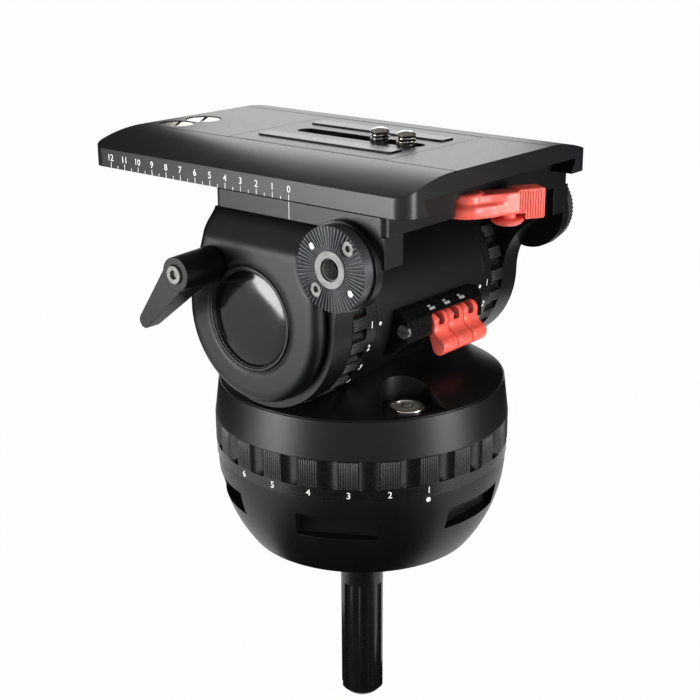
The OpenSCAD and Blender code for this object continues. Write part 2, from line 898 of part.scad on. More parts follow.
module tilt_drag_rotors() {
  hub = tilt_bearing_r - 1;
  disc_r = boss_r - boss_wall - 1;
  color("#a5a5aa") at_tilt() for (side = [-1, 1]) on_side(side) difference() {
    union() {
      rod_x(hub, drum_half - 2, arm_in + 1.5);
      for (i = [0 : 2])
        translate([drum_half + 1 + i * stack_pitch, 0, 0]) rod_x(disc_r, 0, disc_t);
    }
    rod_x(shaft_r + run, 0, far);
  }
}

// Receiver, plate lock and safety button

// Half-section of the dovetail, grown by a margin on every side
module dovetail(margin, top) {
  polygon([[-channel_half - margin, plate_z - past], [-channel_half - margin, plate_z],
    [-channel_half - undercut - margin, top], [channel_half + undercut + margin, top],
    [channel_half + margin, plate_z], [channel_half + margin, plate_z - past]]);
}

// Turns its shape, drawn in the X-Z plane, into a bar between two Y stations
module bar_y(y0, y1) {
  translate([0, y1, 0]) rotate([90, 0, 0]) linear_extrude(y1 - y0) children();
}

module jaw_space(margin) {
  translate([-channel_half - undercut - past, jaw_rear - margin, receiver_top])
    cube([undercut + past + jaw_w + margin, jaw_front - jaw_rear + 2 * margin, far]);
}

module receiver() {
  corner = 3;
  color("#2e2e30") difference() {
    union() {
      translate([0, 0, receiver_z]) linear_extrude(receiver_t)
        round_rect(-arm_out, arm_out, -receiver_rear, receiver_front, corner);
      bar_y(-receiver_rear, receiver_front) difference() {
        dovetail(-seam, rail_top);
        translate([-far, plate_z - past - far]) square([2 * far, far + past - seam]);
      }
    }
    translate([0, 0, receiver_top]) jaw_cut();
    translate([-lock_x, lock_y, receiver_z - past])
      cylinder(r = pocket_r, h = lock_top + seam - receiver_z + past);
    translate([-lock_x, lock_y, 0]) cylinder(r = lock_pin_r, h = far);
    lock_room();
  }
}

// Room for the jaw and its travel in the rail
module jaw_cut() {
  translate([0, 0, -receiver_top]) jaw_space(jaw_travel + seam);
}

// Room for the lock lever's arm where it leaves its pocket
module lock_room() {
  translate([-lock_x, lock_y, receiver_z - past]) linear_extrude(lock_top + seam - receiver_z + past)
    rotate(lock_slope) translate([0, -far]) square([grip_x, far + lock_front + past]);
}

module clamp_jaw() {
  color("#9c9ca0") intersection() {
    bar_y(jaw_rear, jaw_front) intersection() {
      dovetail(-seam, rail_top);
      translate([-far, receiver_top + seam / 2]) square([2 * far, far]);
    }
    jaw_space(0);
  }
}

module at_lock() {
  translate([-lock_x, lock_y, lock_low]) children();
}

// The pin's head sits in a counterbore under the lever's hub
module lock_pin() {
  color("silver") at_lock() {
    cylinder(r = lock_pin_r, h = rail_top - past - lock_low);
    cylinder(r = lock_head_r, h = lock_head_h);
  }
}

// Stepped hub, an arm that is broader below than above, and an upright ribbed grip
module plate_lock_lever() {
  bevel = 1.2;
  flange_h = 5.2;
  upper_r = lock_hub_r - 2.2;
  thick = lock_top - lock_low;
  swell = 0.4;
  rib_r = 0.6;
  rib_count = 7;
  rib_pitch = (grip_len - 4 * rib_r) / (rib_count - 1);
  scoop = 5;
  color("#d9342b") at_lock() difference() {
    union() {
      rotate_extrude() polygon([[0, 0], [lock_hub_r - bevel, 0], [lock_hub_r, bevel],
        [lock_hub_r, flange_h - 0.5], [lock_hub_r - 0.5, flange_h], [upper_r, flange_h + 0.4],
        [upper_r, thick - bevel], [upper_r - bevel, thick], [0, thick]]);
      rotate([0, 0, lock_slope]) {
        translate([0, 0, swell]) linear_extrude(flange_h - 2 * swell)
          polygon([[0, -lock_hub_r + swell], [grip_x + past, lock_back], [grip_x + past, lock_front],
            [0, lock_front + past]]);
        translate([0, 0, swell]) linear_extrude(thick - 3 * swell)
          polygon([[0, -upper_r + swell], [grip_x - scoop, lock_back + 3], [grip_x + past, lock_back],
            [grip_x + past, lock_front], [0, lock_front]]);
        translate([grip_x, lock_back - swell, -grip_drop])
          cube([grip_len, lock_front - lock_back + 2 * swell, grip_h]);
        for (i = [0 : rib_count - 1])
          translate([grip_x + 2 * rib_r + i * rib_pitch, lock_back - swell, past - grip_drop])
            cylinder(r = rib_r, h = grip_h - 2 * past, $fn = 24);
      }
    }
    translate([0, 0, -past]) cylinder(r = lock_pin_r + run, h = thick + 2 * past);
    translate([0, 0, -past]) cylinder(r = lock_head_r + seam, h = lock_head_h + seam + past);
    rotate([0, 0, lock_slope]) translate([button_at[0], button_at[1], 0]) {
      translate([0, 0, -far]) cylinder(r = button_r + seam, h = far + swell);
      cylinder(r = button_stem + run, h = button_stem_in + button_travel + past);
    }
  }
}

// Domed button that slides up into the lock lever's arm
module safety_button() {
  cap = button_h - 1;
  cap_r = (button_r * button_r + cap * cap) / (2 * cap);
  color("#d9342b") at_lock() rotate([0, 0, lock_slope])
    translate([button_at[0], button_at[1], -button_travel - seam - button_h]) {
      rotate_extrude() intersection() {
        translate([0, cap_r]) circle(r = cap_r, $fn = 360);
        square([button_r, button_h]);
      }
      cylinder(r = button_stem, h = button_h + button_travel + seam + button_stem_in);
    }
}

// Sliding plate

// Outer section of the plate in the X-Z plane
module plate_section() {
  translate([-plate_flat / 2, plate_z]) square([plate_flat, plate_h]);
  for (s = [0, 1]) mirror([s, 0]) intersection() {
    translate([plate_flat / 2, plate_top - shoulder_r]) circle(r = shoulder_r, $fn = 200);
    translate([plate_flat / 2 - 0.5, plate_z]) square([shoulder_w + 0.5, plate_h]);
  }
}

module panel_space(margin) {
  translate([-plate_flat / 2 + 1.2 - margin, -panel_rear - margin, panel_z])
    cube([plate_flat - 2.4 + 2 * margin, panel_front + panel_rear + 2 * margin, far]);
}

module screw_slot(r, corner) {
  translate([0, 0, plate_z]) linear_extrude(far) round_rect(-r, r, -slot_rear, slot_front, corner);
}

module camera_plate() {
  groove_w = 0.7;
  groove_deep = 0.8;
  color("#29292b") difference() {
    intersection() {
      bar_y(-plate_rear, plate_front) plate_section();
      linear_extrude(far) round_rect(-arm_out, arm_out, -plate_rear, plate_front, plate_corner);
    }
    bar_y(-far, far) dovetail(0, channel_top);
    panel_space(0);
    screw_slot(slider_half + 2 * seam, 1);
    for (s = [-1, 1]) translate([s * plate_flat / 2 - groove_w / 2, -far, plate_top - groove_deep])
      cube([groove_w, 2 * far, far]);
    for (x = spare_x)
      translate([x, spare_y, plate_top - spare_deep]) cylinder(r = spare_r + 0.6, h = far);
  }
}

module top_panel() {
  gap = 0.25;
  color("#242426") difference() {
    intersection() {
      panel_space(-gap);
      translate([-far, -far, 0]) cube([2 * far, 2 * far, plate_top]);
    }
    screw_slot(camera_thread_r + 0.5, camera_thread_r + 0.49);
    for (s = [-1, 1]) strip_shape(s, plate_top - 1, far, run);
  }
}

module strip_shape(s, z0, h, margin) {
  translate([s * strip_x, 0, z0]) linear_extrude(h)
    round_rect(-strip_w / 2 - margin, strip_w / 2 + margin, -slot_rear - margin, slot_front + 6 + margin,
      1.5);
}

module rubber_strips() {
  color("#0e0e0f") for (s = [-1, 1]) strip_shape(s, plate_top - 1, 1 + strip_proud, 0);
}

module spare_screws() {
  color("silver") for (x = spare_x) translate([x, spare_y, plate_top - spare_deep]) difference() {
    cylinder(r = spare_r, h = spare_deep - 0.4);
    rotate([0, 0, 35]) translate([-far, -1, 1]) cube([2 * far, 2, far]);
  }
}

// Washer that carries a camera screw along the slot
module screw_slider(y) {
  translate([0, y, panel_z - seam / 2 - slider_t]) difference() {
    translate([-slider_half, -slider_len / 2, 0]) cube([2 * slider_half, slider_len, slider_t]);
    translate([0, 0, -past]) cylinder(r = screw_neck_r + run, h = slider_t + 2 * past);
  }
}

// Head, free neck through the slider and the slot, and the thread above the plate
module camera_screw(y) {
  head_z = panel_z - seam / 2 - slider_t - seam - screw_head_h;
  edge = 0.8;
  color("silver") translate([0, y, 0]) difference() {
    union() {
      translate([0, 0, head_z]) cylinder(r = slider_len / 2 - 0.2, h = screw_head_h);
      translate([0, 0, head_z]) cylinder(r = screw_neck_r, h = neck_top + past - head_z);
      translate([0, 0, neck_top])
        cylinder(r = camera_thread_r, h = plate_top + screw_proud - edge - neck_top);
      translate([0, 0, plate_top + screw_proud - edge])
        cylinder(r1 = camera_thread_r, r2 = camera_thread_r - edge, h = edge);
    }
    translate([-far, -0.8, head_z - past]) cube([2 * far, 1.6, past + 1]);
  }
}

module screw_slider_front() {
  color("#6a6a6e") screw_slider(screw_front_y);
}

module screw_slider_rear() {
  color("#6a6a6e") screw_slider(screw_rear_y);
}

module camera_screw_front() {
  camera_screw(screw_front_y);
}

module camera_screw_rear() {
  camera_screw(screw_rear_y);
}

module tilt_brake_lever() {
  color("#1c1c1e") on_side(-1) translate([0, brake_y, brake_z])
    brake_lever(cover_out - 0.4 + seam, cover_t + brake_stud_in, brake_slope);
}

module tilt_brake_screw() {
  color("silver") on_side(-1) translate([0, brake_y, brake_z]) brake_screw(cover_out - 0.4 + seam);
}

half_ball();
pan_drag_case();
pan_drag_stators();
tie_down_stud();
clamp_dish();
tie_down_handle();
pan_drag_ring();
pan_housing();
pan_bearing();
pan_drag_rotor();
tilt_drum();
tilt_shaft();
balance_springs();
balance_block();
lever_pin();
level_bezel();
level_vial();
balance_lever_1();
balance_lever_2();
balance_lever_3();
tilt_drag_ring_left();
tilt_drag_ring_right();
pan_brake_lever();
pan_brake_screw();
receiver();
arm_left();
arm_right();
side_cover_left();
side_cover_right();
badge_bezel();
badge_disc();
rosette_left();
rosette_right();
rosette_insert_left();
rosette_insert_right();
rosette_screws();
rosette_dowels();
tilt_bearings();
tilt_drag_rotors();
lock_pin();
tilt_brake_lever();
tilt_brake_screw();
plate_lock_lever();
clamp_jaw();
safety_button();
camera_plate();
top_panel();
rubber_strips();
spare_screws();
screw_slider_front();
screw_slider_rear();
camera_screw_front();
camera_screw_rear();
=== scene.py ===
"""Looks of a fluid video head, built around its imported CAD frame."""

import math

import bmesh
import bpy
from mathutils import Matrix, Vector


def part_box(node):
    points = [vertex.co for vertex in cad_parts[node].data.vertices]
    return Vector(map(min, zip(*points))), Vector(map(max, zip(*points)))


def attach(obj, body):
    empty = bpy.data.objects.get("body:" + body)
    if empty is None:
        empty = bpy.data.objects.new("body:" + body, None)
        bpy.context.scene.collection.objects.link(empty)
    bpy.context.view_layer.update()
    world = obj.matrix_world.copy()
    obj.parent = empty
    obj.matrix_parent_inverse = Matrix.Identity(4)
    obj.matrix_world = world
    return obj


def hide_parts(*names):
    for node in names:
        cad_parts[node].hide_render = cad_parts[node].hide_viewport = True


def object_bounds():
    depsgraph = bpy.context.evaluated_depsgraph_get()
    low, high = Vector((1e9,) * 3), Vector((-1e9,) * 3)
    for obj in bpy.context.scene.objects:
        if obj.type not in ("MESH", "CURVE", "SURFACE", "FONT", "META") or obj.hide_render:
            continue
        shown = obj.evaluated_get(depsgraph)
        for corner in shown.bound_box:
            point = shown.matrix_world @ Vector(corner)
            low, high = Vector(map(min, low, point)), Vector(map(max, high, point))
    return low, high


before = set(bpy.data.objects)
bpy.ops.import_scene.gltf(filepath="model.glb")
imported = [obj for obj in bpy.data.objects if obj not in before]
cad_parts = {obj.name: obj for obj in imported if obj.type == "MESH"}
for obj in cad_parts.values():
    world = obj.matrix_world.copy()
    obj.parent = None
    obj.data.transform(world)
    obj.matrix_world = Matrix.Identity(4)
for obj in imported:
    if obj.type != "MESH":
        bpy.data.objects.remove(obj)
CAD_BOX = [list(corner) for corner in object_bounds()]

bl_info = {
    "name": "Fluid Video Head",
    "version": (1, 0, 0),
    "blender": (4, 5, 0),
    "location": "View3D > Sidebar > Video Head",
    "description": "Finishes and fine pieces of a fluid video head on its CAD frame",
    "category": "Object",
}

MM = 0.001

# Stations read from the frame, in metres
TILT_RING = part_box("tilt_drag_ring_left")
TILT_AXIS = (TILT_RING[0] + TILT_RING[1]) / 2
TILT_RADIUS = (TILT_RING[1].z - TILT_RING[0].z) / 2
PAN_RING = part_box("pan_drag_ring")
PAN_RADIUS = (PAN_RING[1].x - PAN_RING[0].x) / 2
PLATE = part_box("camera_plate")
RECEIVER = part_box("receiver")
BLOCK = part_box("balance_block")

# Grip pads of the drag rings: how many, where the first one stands, and the share of a step that is pad
PAD_COUNT = 24
PAD_STEP = 2 * math.pi / PAD_COUNT
PAN_PAD_START = math.radians(5)
PAD_SHARE = 0.5

# Plain band of a drag ring beside its pads, which carries the numbers
NUMBER_BAND = 5.3 * MM

# Directions of the printed numbers, in degrees
NUMBER_STEP = 15
PAN_NUMBERS = {number: 245 - NUMBER_STEP * (number - 1) for number in range(1, 7)}
TILT_NUMBERS = {number: -3 - NUMBER_STEP * (number - 1) for number in range(1, 7)}

# How far the strokes of printed characters are thickened, as a share of the character size
PRINT_WEIGHT = 0.008

# Plate lock: its turn at rest in degrees, and where the button stands, in millimetres from the lock's pin
LOCK_TURN = -30
LOCK_BUTTON = (20.5, -2.5)

# Lamps: place and size in metres
LAMPS = {
    "key": ((-1.015, 0.473, 0.03), (0.5, 0.4)),
    "side": ((0.26, -1.05, 0.08), (0.4, 0.4)),
    "back": ((1.0, 0.85, 0.6), (1.2, 0.5)),
}

# Black cards: place and size in metres, and whether the card lies on the floor
CARDS = {
    "right_flag": ((0.34, -0.124, 0.12), (0.58, 0.53), False),
    "front_flag": ((-0.03, 0.4, 0.12), (0.56, 0.53), False),
    "floor_flag": ((-0.42, -0.36, CAD_BOX[0][2] + 2 * MM), (0.9, 0.9), True),
}

# The point that lamps and cards face
LIT_POINT = Vector((0, 0, 60 * MM))

# The photograph's point of view
CAMERA_PLACE = Vector((-509.6, -424.6, 274.7)) * MM
CAMERA_AIM = Vector((-3.8, 4.5, 50.4)) * MM
CAMERA_ROLL = math.radians(-0.3)


def linear(hex_colour):
    """An sRGB hex colour as linear RGBA."""
    parts = [int(hex_colour[i:i + 2], 16) / 255 for i in (1, 3, 5)]
    return tuple(c / 12.92 if c <= 0.04045 else ((c + 0.055) / 1.055) ** 2.4 for c in parts) + (1.0,)


def per_mm(size):
    """Texture scale whose features are this many millimetres wide, on coordinates in metres."""
    return 1 / (size * MM)


def add_node(tree, kind, sockets=None, **settings):
    """Adds a shader node, sets its options, and gives each named input a value or the output feeding it."""
    made = tree.nodes.new("ShaderNode" + kind)
    for name, value in settings.items():
        setattr(made, name, value)
    for key, value in (sockets or {}).items():
        if isinstance(value, bpy.types.NodeSocket):
            tree.links.new(value, made.inputs[key])
        else:
            made.inputs[key].default_value = value
    return made


def new_material(name):
    """An empty node material and its tree."""
    material = bpy.data.materials.new(name)
    material.use_nodes = True
    material.node_tree.nodes.clear()
    return material, material.node_tree


def grained(name, colour, grain, mottle, rough, bump, edge, shader):
    """A surface with a fine grain in its gloss and relief, a slow drift of colour, and softened edges.

    colour names a colour of the panel; grain, mottle, bump and edge are millimetres, rough is the range of
    roughness, an edge of zero leaves the edges as they are, and shader has other inputs of the surface.
    Grains under 0.6 mm are drawn coarser than the real ones, so that they show in a render.
    """
    material, tree = new_material(name)
    middle = getattr(bpy.context.scene.head_colours, colour)
    dark, light = ((*(share * c for c in middle), 1.0) for share in (0.86, 1.14))
    where = add_node(tree, "TexCoord").outputs["Object"]
    fine = add_node(tree, "TexNoise", {"Vector": where, "Scale": per_mm(grain), "Detail": 2.0})
    slow = add_node(tree, "TexNoise", {"Vector": where, "Scale": per_mm(mottle), "Detail": 4.0})
    drift = add_node(tree, "MapRange", {"Value": slow.outputs["Fac"], "From Min": 0.35, "From Max": 0.65})
    # A Mix node's inputs 6 and 7 are its two colours, and its output 2 is the mixed one
    tone = add_node(tree, "Mix", {"Factor": drift.outputs["Result"], 6: dark, 7: light}, data_type="RGBA")
    gloss = add_node(tree, "MapRange",
                     {"Value": fine.outputs["Fac"], "From Min": 0.3, "From Max": 0.7,
                      "To Min": rough[0], "To Max": rough[1]})
    relief = add_node(tree, "Bump", {"Height": fine.outputs["Fac"], "Strength": 1.0, "Distance": bump * MM})
    if edge:
        soft = add_node(tree, "Bevel", {"Radius": edge * MM}, samples=6)
        tree.links.new(soft.outputs["Normal"], relief.inputs["Normal"])
    sockets = {"Base Color": tone.outputs[2], "Roughness": gloss.outputs["Result"],
               "Normal": relief.outputs["Normal"]}
    sockets.update(shader)
    surface = add_node(tree, "BsdfPrincipled", sockets)
    add_node(tree, "OutputMaterial", {"Surface": surface.outputs["BSDF"]})
    return material


def oil_grooves(tree):
    """Paints shade into the base colour deep between close walls, such as in a thread's grooves."""
    surface = next(node for node in tree.nodes if node.type == "BSDF_PRINCIPLED")
    plating = surface.inputs["Base Color"].links[0].from_socket
    old_oil = (*bpy.context.scene.head_colours.old_oil, 1.0)
    # Painted shade: the less open a point is, the nearer its colour comes to the groove shade colour
    open_share = add_node(tree, "AmbientOcclusion", {"Distance": 1.6 * MM}, samples=12, only_local=True)
    unshaded = add_node(tree, "MapRange",
                     {"Value": open_share.outputs["AO"], "From Min": 0.45, "From Max": 0.85,
                      "To Min": 0.02, "To Max": 1.0})
    tone = add_node(tree, "Mix", {"Factor": unshaded.outputs["Result"], 6: old_oil, 7: plating},
                    data_type="RGBA")
    tree.links.new(tone.outputs[2], surface.inputs["Base Color"])


# The real materials: colour, grain, mottle, roughness, bump, edge and other inputs, as grained() takes them
METAL = {"Metallic": 1.0}
RECIPES = {
    # Black powder coat on cast aluminium: a dry satin skin whose baked grains sparkle in a highlight
    "powder_coated_aluminium": ("coat", 0.55, 22, (0.30, 0.42), 0.035, 0.5, {"Specular IOR Level": 0.32}),
    # The same coat on the side covers, whose slope was blended before coating: no line shows
    "powder_coated_cover": ("coat", 0.55, 22, (0.30, 0.42), 0.035, 5.0, {"Specular IOR Level": 0.32}),
    # Black hard-anodised aluminium, bead blasted: an even grey-black satin that lights up at a low angle
    "hard_anodised_aluminium": ("anodising", 0.4, 30, (0.30, 0.40), 0.018, 0.4, {"Specular IOR Level": 0.38}),
    # Black glass-filled nylon, moulded: a smooth silk gloss with a faint eggshell
    "moulded_glass_filled_nylon": ("nylon", 0.8, 14, (0.24, 0.34), 0.003, 0.3, {}),
    # The same nylon on the grip ribs, paler and rougher than the ring: its edges are real ones
    "rubbed_glass_filled_nylon": ("rubbed_nylon", 1.6, 9, (0.36, 0.48), 0.001, 0, {}),
    # Black ABS from a polished mould: deeper and glossier than the nylon of the rings
    "moulded_black_abs": ("black_abs", 1.2, 10, (0.18, 0.28), 0.006, 0.35, {}),
    # Red ABS, moulded: opaque, with a soft sheen and a slow drift of shade
    "moulded_red_abs": ("red_abs", 0.9, 9, (0.28, 0.40), 0.010, 0.4, {"Specular IOR Level": 0.45}),
    # Nickel-plated steel, turned: a warm bright metal with a fine tooled grain
    "nickel_plated_steel": ("nickel", 0.35, 6, (0.18, 0.30), 0.006, 0.2, METAL),
    # The same with a cut thread: bright crests, and grooves darkened by painted shade
    "nickel_plated_thread": ("nickel", 0.35, 6, (0.18, 0.30), 0.006, 0, METAL),
    # Satin nickel on steel, blasted before plating: a greyer, duller metal
    "satin_nickel": ("satin_nickel", 0.3, 5, (0.62, 0.76), 0.008, 0.2, METAL),
    # Ground bearing steel: plain grey metal
    "ground_bearing_steel": ("steel", 0.3, 8, (0.22, 0.32), 0.004, 0.2, METAL),
    # Milled aluminium, not coated: pale and a little dull
    "milled_aluminium": ("aluminium", 0.4, 12, (0.30, 0.42), 0.008, 0.3, METAL),
    # Die-cast zinc alloy, blackened: dark grey metal, a little uneven where the teeth have rubbed
    "blackened_zinc_alloy": ("alloy", 0.45, 3, (0.32, 0.44), 0.012, 0.12, {"Metallic": 0.8}),
    # White nylon pin: plain, dull and slightly warm
    "white_nylon": ("white_nylon", 0.5, 4, (0.42, 0.52), 0.006, 0.2, {}),
    # Nitrile rubber strip, pressed smooth: black, and bright only where light grazes it
    "nitrile_rubber": ("rubber", 0.6, 7, (0.26, 0.36), 0.008, 0.3, {}),
    # Black acrylic with a domed face: a mirror-like black with next to no grain
    "gloss_black_acrylic": ("acrylic", 2.0, 16, (0.10, 0.15), 0.001, 0.3, {"Specular IOR Level": 0.4}),
    # Spirit in an acrylic vial: pale grey-green with a bright surface
    "vial_acrylic": ("vial", 1.5, 5, (0.06, 0.12), 0.002, 0.2, {"Coat Weight": 0.5, "Coat Roughness": 0.05}),
    # White pad-printing ink: a thin flat white with slightly ragged gloss
    "white_print_ink": ("white_ink", 0.5, 3, (0.48, 0.6), 0.004, 0.05, {}),
    # Grey pad-printing ink for the marks on the balance block: thin and flat
    "grey_print_ink": ("grey_ink", 0.5, 3, (0.5, 0.6), 0.004, 0.05, {}),
}

# Each finish and the CAD nodes that keep their own mesh and wear it
FINISHES = {
    "powder_coated_aluminium": ("half_ball", "pan_housing", "tilt_drum", "arm_left", "arm_right", "receiver",
                                "clamp_dish", "tilt_brake_lever", "pan_brake_lever"),
    "powder_coated_cover": ("side_cover_left", "side_cover_right"),
    "hard_anodised_aluminium": ("camera_plate", "top_panel"),
    "moulded_glass_filled_nylon": ("pan_drag_ring", "tilt_drag_ring_left", "tilt_drag_ring_right",
                                   "badge_bezel", "tie_down_handle"),
    "moulded_black_abs": ("balance_block",),
    "nickel_plated_steel": ("tie_down_stud", "spare_screws", "lock_pin"),
    "satin_nickel": ("tilt_brake_screw", "pan_brake_screw", "rosette_screws", "lever_pin"),
    "ground_bearing_steel": ("pan_bearing", "tilt_bearings", "tilt_shaft", "balance_springs",
                             "screw_slider_front", "screw_slider_rear", "pan_drag_rotor",
                             "pan_drag_stators", "tilt_drag_rotors"),
    "milled_aluminium": ("pan_drag_case", "clamp_jaw"),
    "blackened_zinc_alloy": ("rosette_left", "rosette_right"),
    "white_nylon": ("rosette_dowels",),
    "nitrile_rubber": ("rubber_strips",),
}

# The finish whose grooves get painted shade, and the materials already made
GROOVE_SHADED = "nickel_plated_thread"
MADE = {}


def finish_of(name):
    """The material of a recipe, made once."""
    if name not in MADE:
        MADE[name] = grained(name, *RECIPES[name])
        if name == GROOVE_SHADED:
            oil_grooves(MADE[name].node_tree)
    return MADE[name]


def add_object(name, data):
    """A new object of the scene."""
    made = bpy.data.objects.new(name, data)
    bpy.context.scene.collection.objects.link(made)
    return made


def mesh_of(shape, name):
    """Turns a bmesh into a mesh."""
    mesh = bpy.data.meshes.new(name)
    shape.to_mesh(mesh)
    shape.free()
    return mesh


def shape_of(holder):
    """A bmesh of an object as its modifiers leave it."""
    bpy.context.view_layer.update()
    mesh = bpy.data.meshes.new_from_object(holder.evaluated_get(bpy.context.evaluated_depsgraph_get()))
    shape = bmesh.new()
    shape.from_mesh(mesh)
    bpy.data.meshes.remove(mesh)
    return shape


def put_piece(name, shape, finish, body, smooth_below=40):
    """Makes a piece from a bmesh in metres, gives it its finish, and rides it on a body."""
    bmesh.ops.recalc_face_normals(shape, faces=shape.faces)
    mesh = mesh_of(shape, name)
    mesh.materials.append(finish_of(finish))
    for polygon in mesh.polygons:
        polygon.use_smooth = True
    mesh.set_sharp_from_angle(angle=math.radians(smooth_below))
    piece = add_object(name, mesh)
    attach(piece, body)
    return piece


def moved(shape, matrix):
    """The shape, moved by a matrix."""
    bmesh.ops.transform(shape, verts=shape.verts, matrix=matrix)
    return shape


def along_x(start, sign):
    """A matrix that lays the Z axis along +X or -X, from a start point."""
    return Matrix.Translation(start) @ Matrix(((0, 0, sign), (0, 1, 0), (-sign, 0, 0))).to_4x4()


def place(shape, origin, right, up):
    """Moves a shape drawn in X and Y so that X runs along right, Y along up, and +Z away from the surface."""
    right, up = Vector(right).normalized(), Vector(up).normalized()
    turn = Matrix((right, up, right.cross(up))).transposed().to_4x4()
    return moved(shape, Matrix.Translation(origin) @ turn)


def join_shapes(shapes):
    """One bmesh that holds all of these."""
    whole = bmesh.new()
    for shape in shapes:
        mesh = mesh_of(shape, "part")
        whole.from_mesh(mesh)
        bpy.data.meshes.remove(mesh)
    return whole


def box_shape(low, high, bevel=0.0):
    """A box between two corners, its edges rounded if asked."""
    shape = bmesh.new()
    bmesh.ops.create_cube(shape, size=1.0)
    size = [high[i] - low[i] for i in range(3)]
    centre = [(high[i] + low[i]) / 2 for i in range(3)]
    moved(shape, Matrix.Translation(centre) @ Matrix.Diagonal((*size, 1.0)))
    if bevel:
        bmesh.ops.bevel(shape, geom=shape.edges[:], offset=bevel, segments=2, affect="EDGES", profile=0.5)
    return shape


def circle_ring(radius, height, steps):
    """Points of a circle about Z."""
    return [(radius * math.cos(2 * math.pi * i / steps), radius * math.sin(2 * math.pi * i / steps), height)
            for i in range(steps)]


def turned(profile, steps=64):
    """A closed revolve about Z of (radius, height) points; a radius of zero closes on the axis."""
    shape = bmesh.new()
    rings = []
    for radius, height in profile:
        points = circle_ring(radius, height, steps) if radius > 1e-9 else [(0, 0, height)]
        rings.append([shape.verts.new(point) for point in points])
    pairs = list(zip(rings, rings[1:]))
    if len(rings[0]) > 1 and len(rings[-1]) > 1:
        pairs.append((rings[-1], rings[0]))
    for low, high in pairs:
        for i in range(steps):
            corners = [low[i % len(low)], low[(i + 1) % len(low)],
                       high[(i + 1) % len(high)], high[i % len(high)]]
            unique = list(dict.fromkeys(corners))
            if len(unique) > 2:
                shape.faces.new(unique)
    return shape


def thread_rings(radius, depth, pitch, low, high, steps):
    """Rings of points on a threaded cylinder about Z, from low to high; the thread runs out at both ends."""
    per_turn = 8
    # Shares of the pitch: half the groove's width, one of its flanks, and the length of the run-out
    groove_half, flank, run_out = 0.338, 0.26, 0.4
    count = max(2, round((high - low) / pitch * per_turn))
    rings = []
    for k in range(count + 1):
        height = low + (high - low) * k / count
        fade = min(1.0, (height - low) / (run_out * pitch), (high - height) / (run_out * pitch))
        ring = []
        for i in range(steps):
            turn = i / steps
            phase = (height / pitch - turn) % 1.0
            groove = min(1.0, max(0.0, (groove_half - abs(phase - 0.5)) / flank))
            r = radius - depth * groove * max(fade, 0.0)
            ring.append((r * math.cos(2 * math.pi * turn), r * math.sin(2 * math.pi * turn), height))
        rings.append(ring)
    return rings


def skin_rings(rings, close_loop=False):
    """A bmesh skin over rings of points with equal counts, capped at both ends unless it closes on itself."""
    shape = bmesh.new()
    made = [[shape.verts.new(p) for p in ring] for ring in rings]
    steps = len(made[0])
    pairs = list(zip(made, made[1:])) + ([(made[-1], made[0])] if close_loop else [])
    for low, high in pairs:
        for i in range(steps):
            j = (i + 1) % steps
            shape.faces.new((low[i], low[j], high[j], high[i]))
    if not close_loop:
        shape.faces.new(list(reversed(made[0])))
        shape.faces.new(made[-1])
    return shape


def smooth_path(points, steps=5):
    """A closed run of points through these ones, rounded between them."""
    count = len(points)
    path = []
    for i in range(count):
        before, start, end, after = (Vector(points[(i + k) % count]) for k in (-1, 0, 1, 2))
        for s in range(steps):
            t = s / steps
            path.append(0.5 * (2 * start + (end - before) * t
                               + (2 * before - 5 * start + 4 * end - after) * t ** 2
                               + (3 * start - before - 3 * end + after) * t ** 3))
    return path


def carved(shape, cutters=(), voxel=0.0, rounds=0):
    """A bmesh, first remeshed and rounded if asked, with the cutters' shapes taken out of it."""
    holders = []
    for each in (shape, *cutters):
        bmesh.ops.recalc_face_normals(each, faces=each.faces)
        holders.append(add_object("carving", mesh_of(each, "carving")))
    body = holders[0]
    if voxel:
        remesh = body.modifiers.new("voxels", "REMESH")
        remesh.mode, remesh.voxel_size = "VOXEL", voxel
        smooth = body.modifiers.new("rounding", "SMOOTH")
        smooth.factor, smooth.iterations = 0.5, rounds
    for tool in holders[1:]:
        cut = body.modifiers.new("cut", "BOOLEAN")
        cut.operation, cut.solver, cut.object = "DIFFERENCE", "EXACT", tool
    result = shape_of(body)
    for holder in holders:
        spent = holder.data
        bpy.data.objects.remove(holder)
        bpy.data.meshes.remove(spent)
    return result


def digits(text, height, thickness):
    """Printed characters as a thin solid, centred on the origin in X and Y, facing +Z."""
    curve = bpy.data.curves.new("digits", "FONT")
    curve.body = text
    curve.align_x = "CENTER"
    curve.extrude = thickness / 2
    curve.resolution_u = 3
    curve.offset = PRINT_WEIGHT
    holder = add_object("digits", curve)
    shape = shape_of(holder)
    bpy.data.objects.remove(holder)
    bpy.data.curves.remove(curve)
    bmesh.ops.remove_doubles(shape, verts=shape.verts, dist=1e-6)
    ys = [v.co.y for v in shape.verts]
    xs = [v.co.x for v in shape.verts]
    scale = height / (max(ys) - min(ys))
    middle = Vector(((max(xs) + min(xs)) / 2, (max(ys) + min(ys)) / 2, 0))
    for v in shape.verts:
        flat = (v.co - middle) * scale
        v.co = Vector((flat.x, flat.y, v.co.z))
    return shape


def panel_colour(name, wearer, hex_colour):
    """A colour property of the panel, for what wears it."""
    return bpy.props.FloatVectorProperty(name=name, description=f"Colour of {wearer}", subtype="COLOR",
                                         default=linear(hex_colour)[:3], size=3, min=0.0, max=1.0)


def panel_length(name, description, size):
    """A length property of the panel; its size is in millimetres."""
    return bpy.props.FloatProperty(name=name, description=description, default=size * MM,
                                   unit="LENGTH", precision=5)


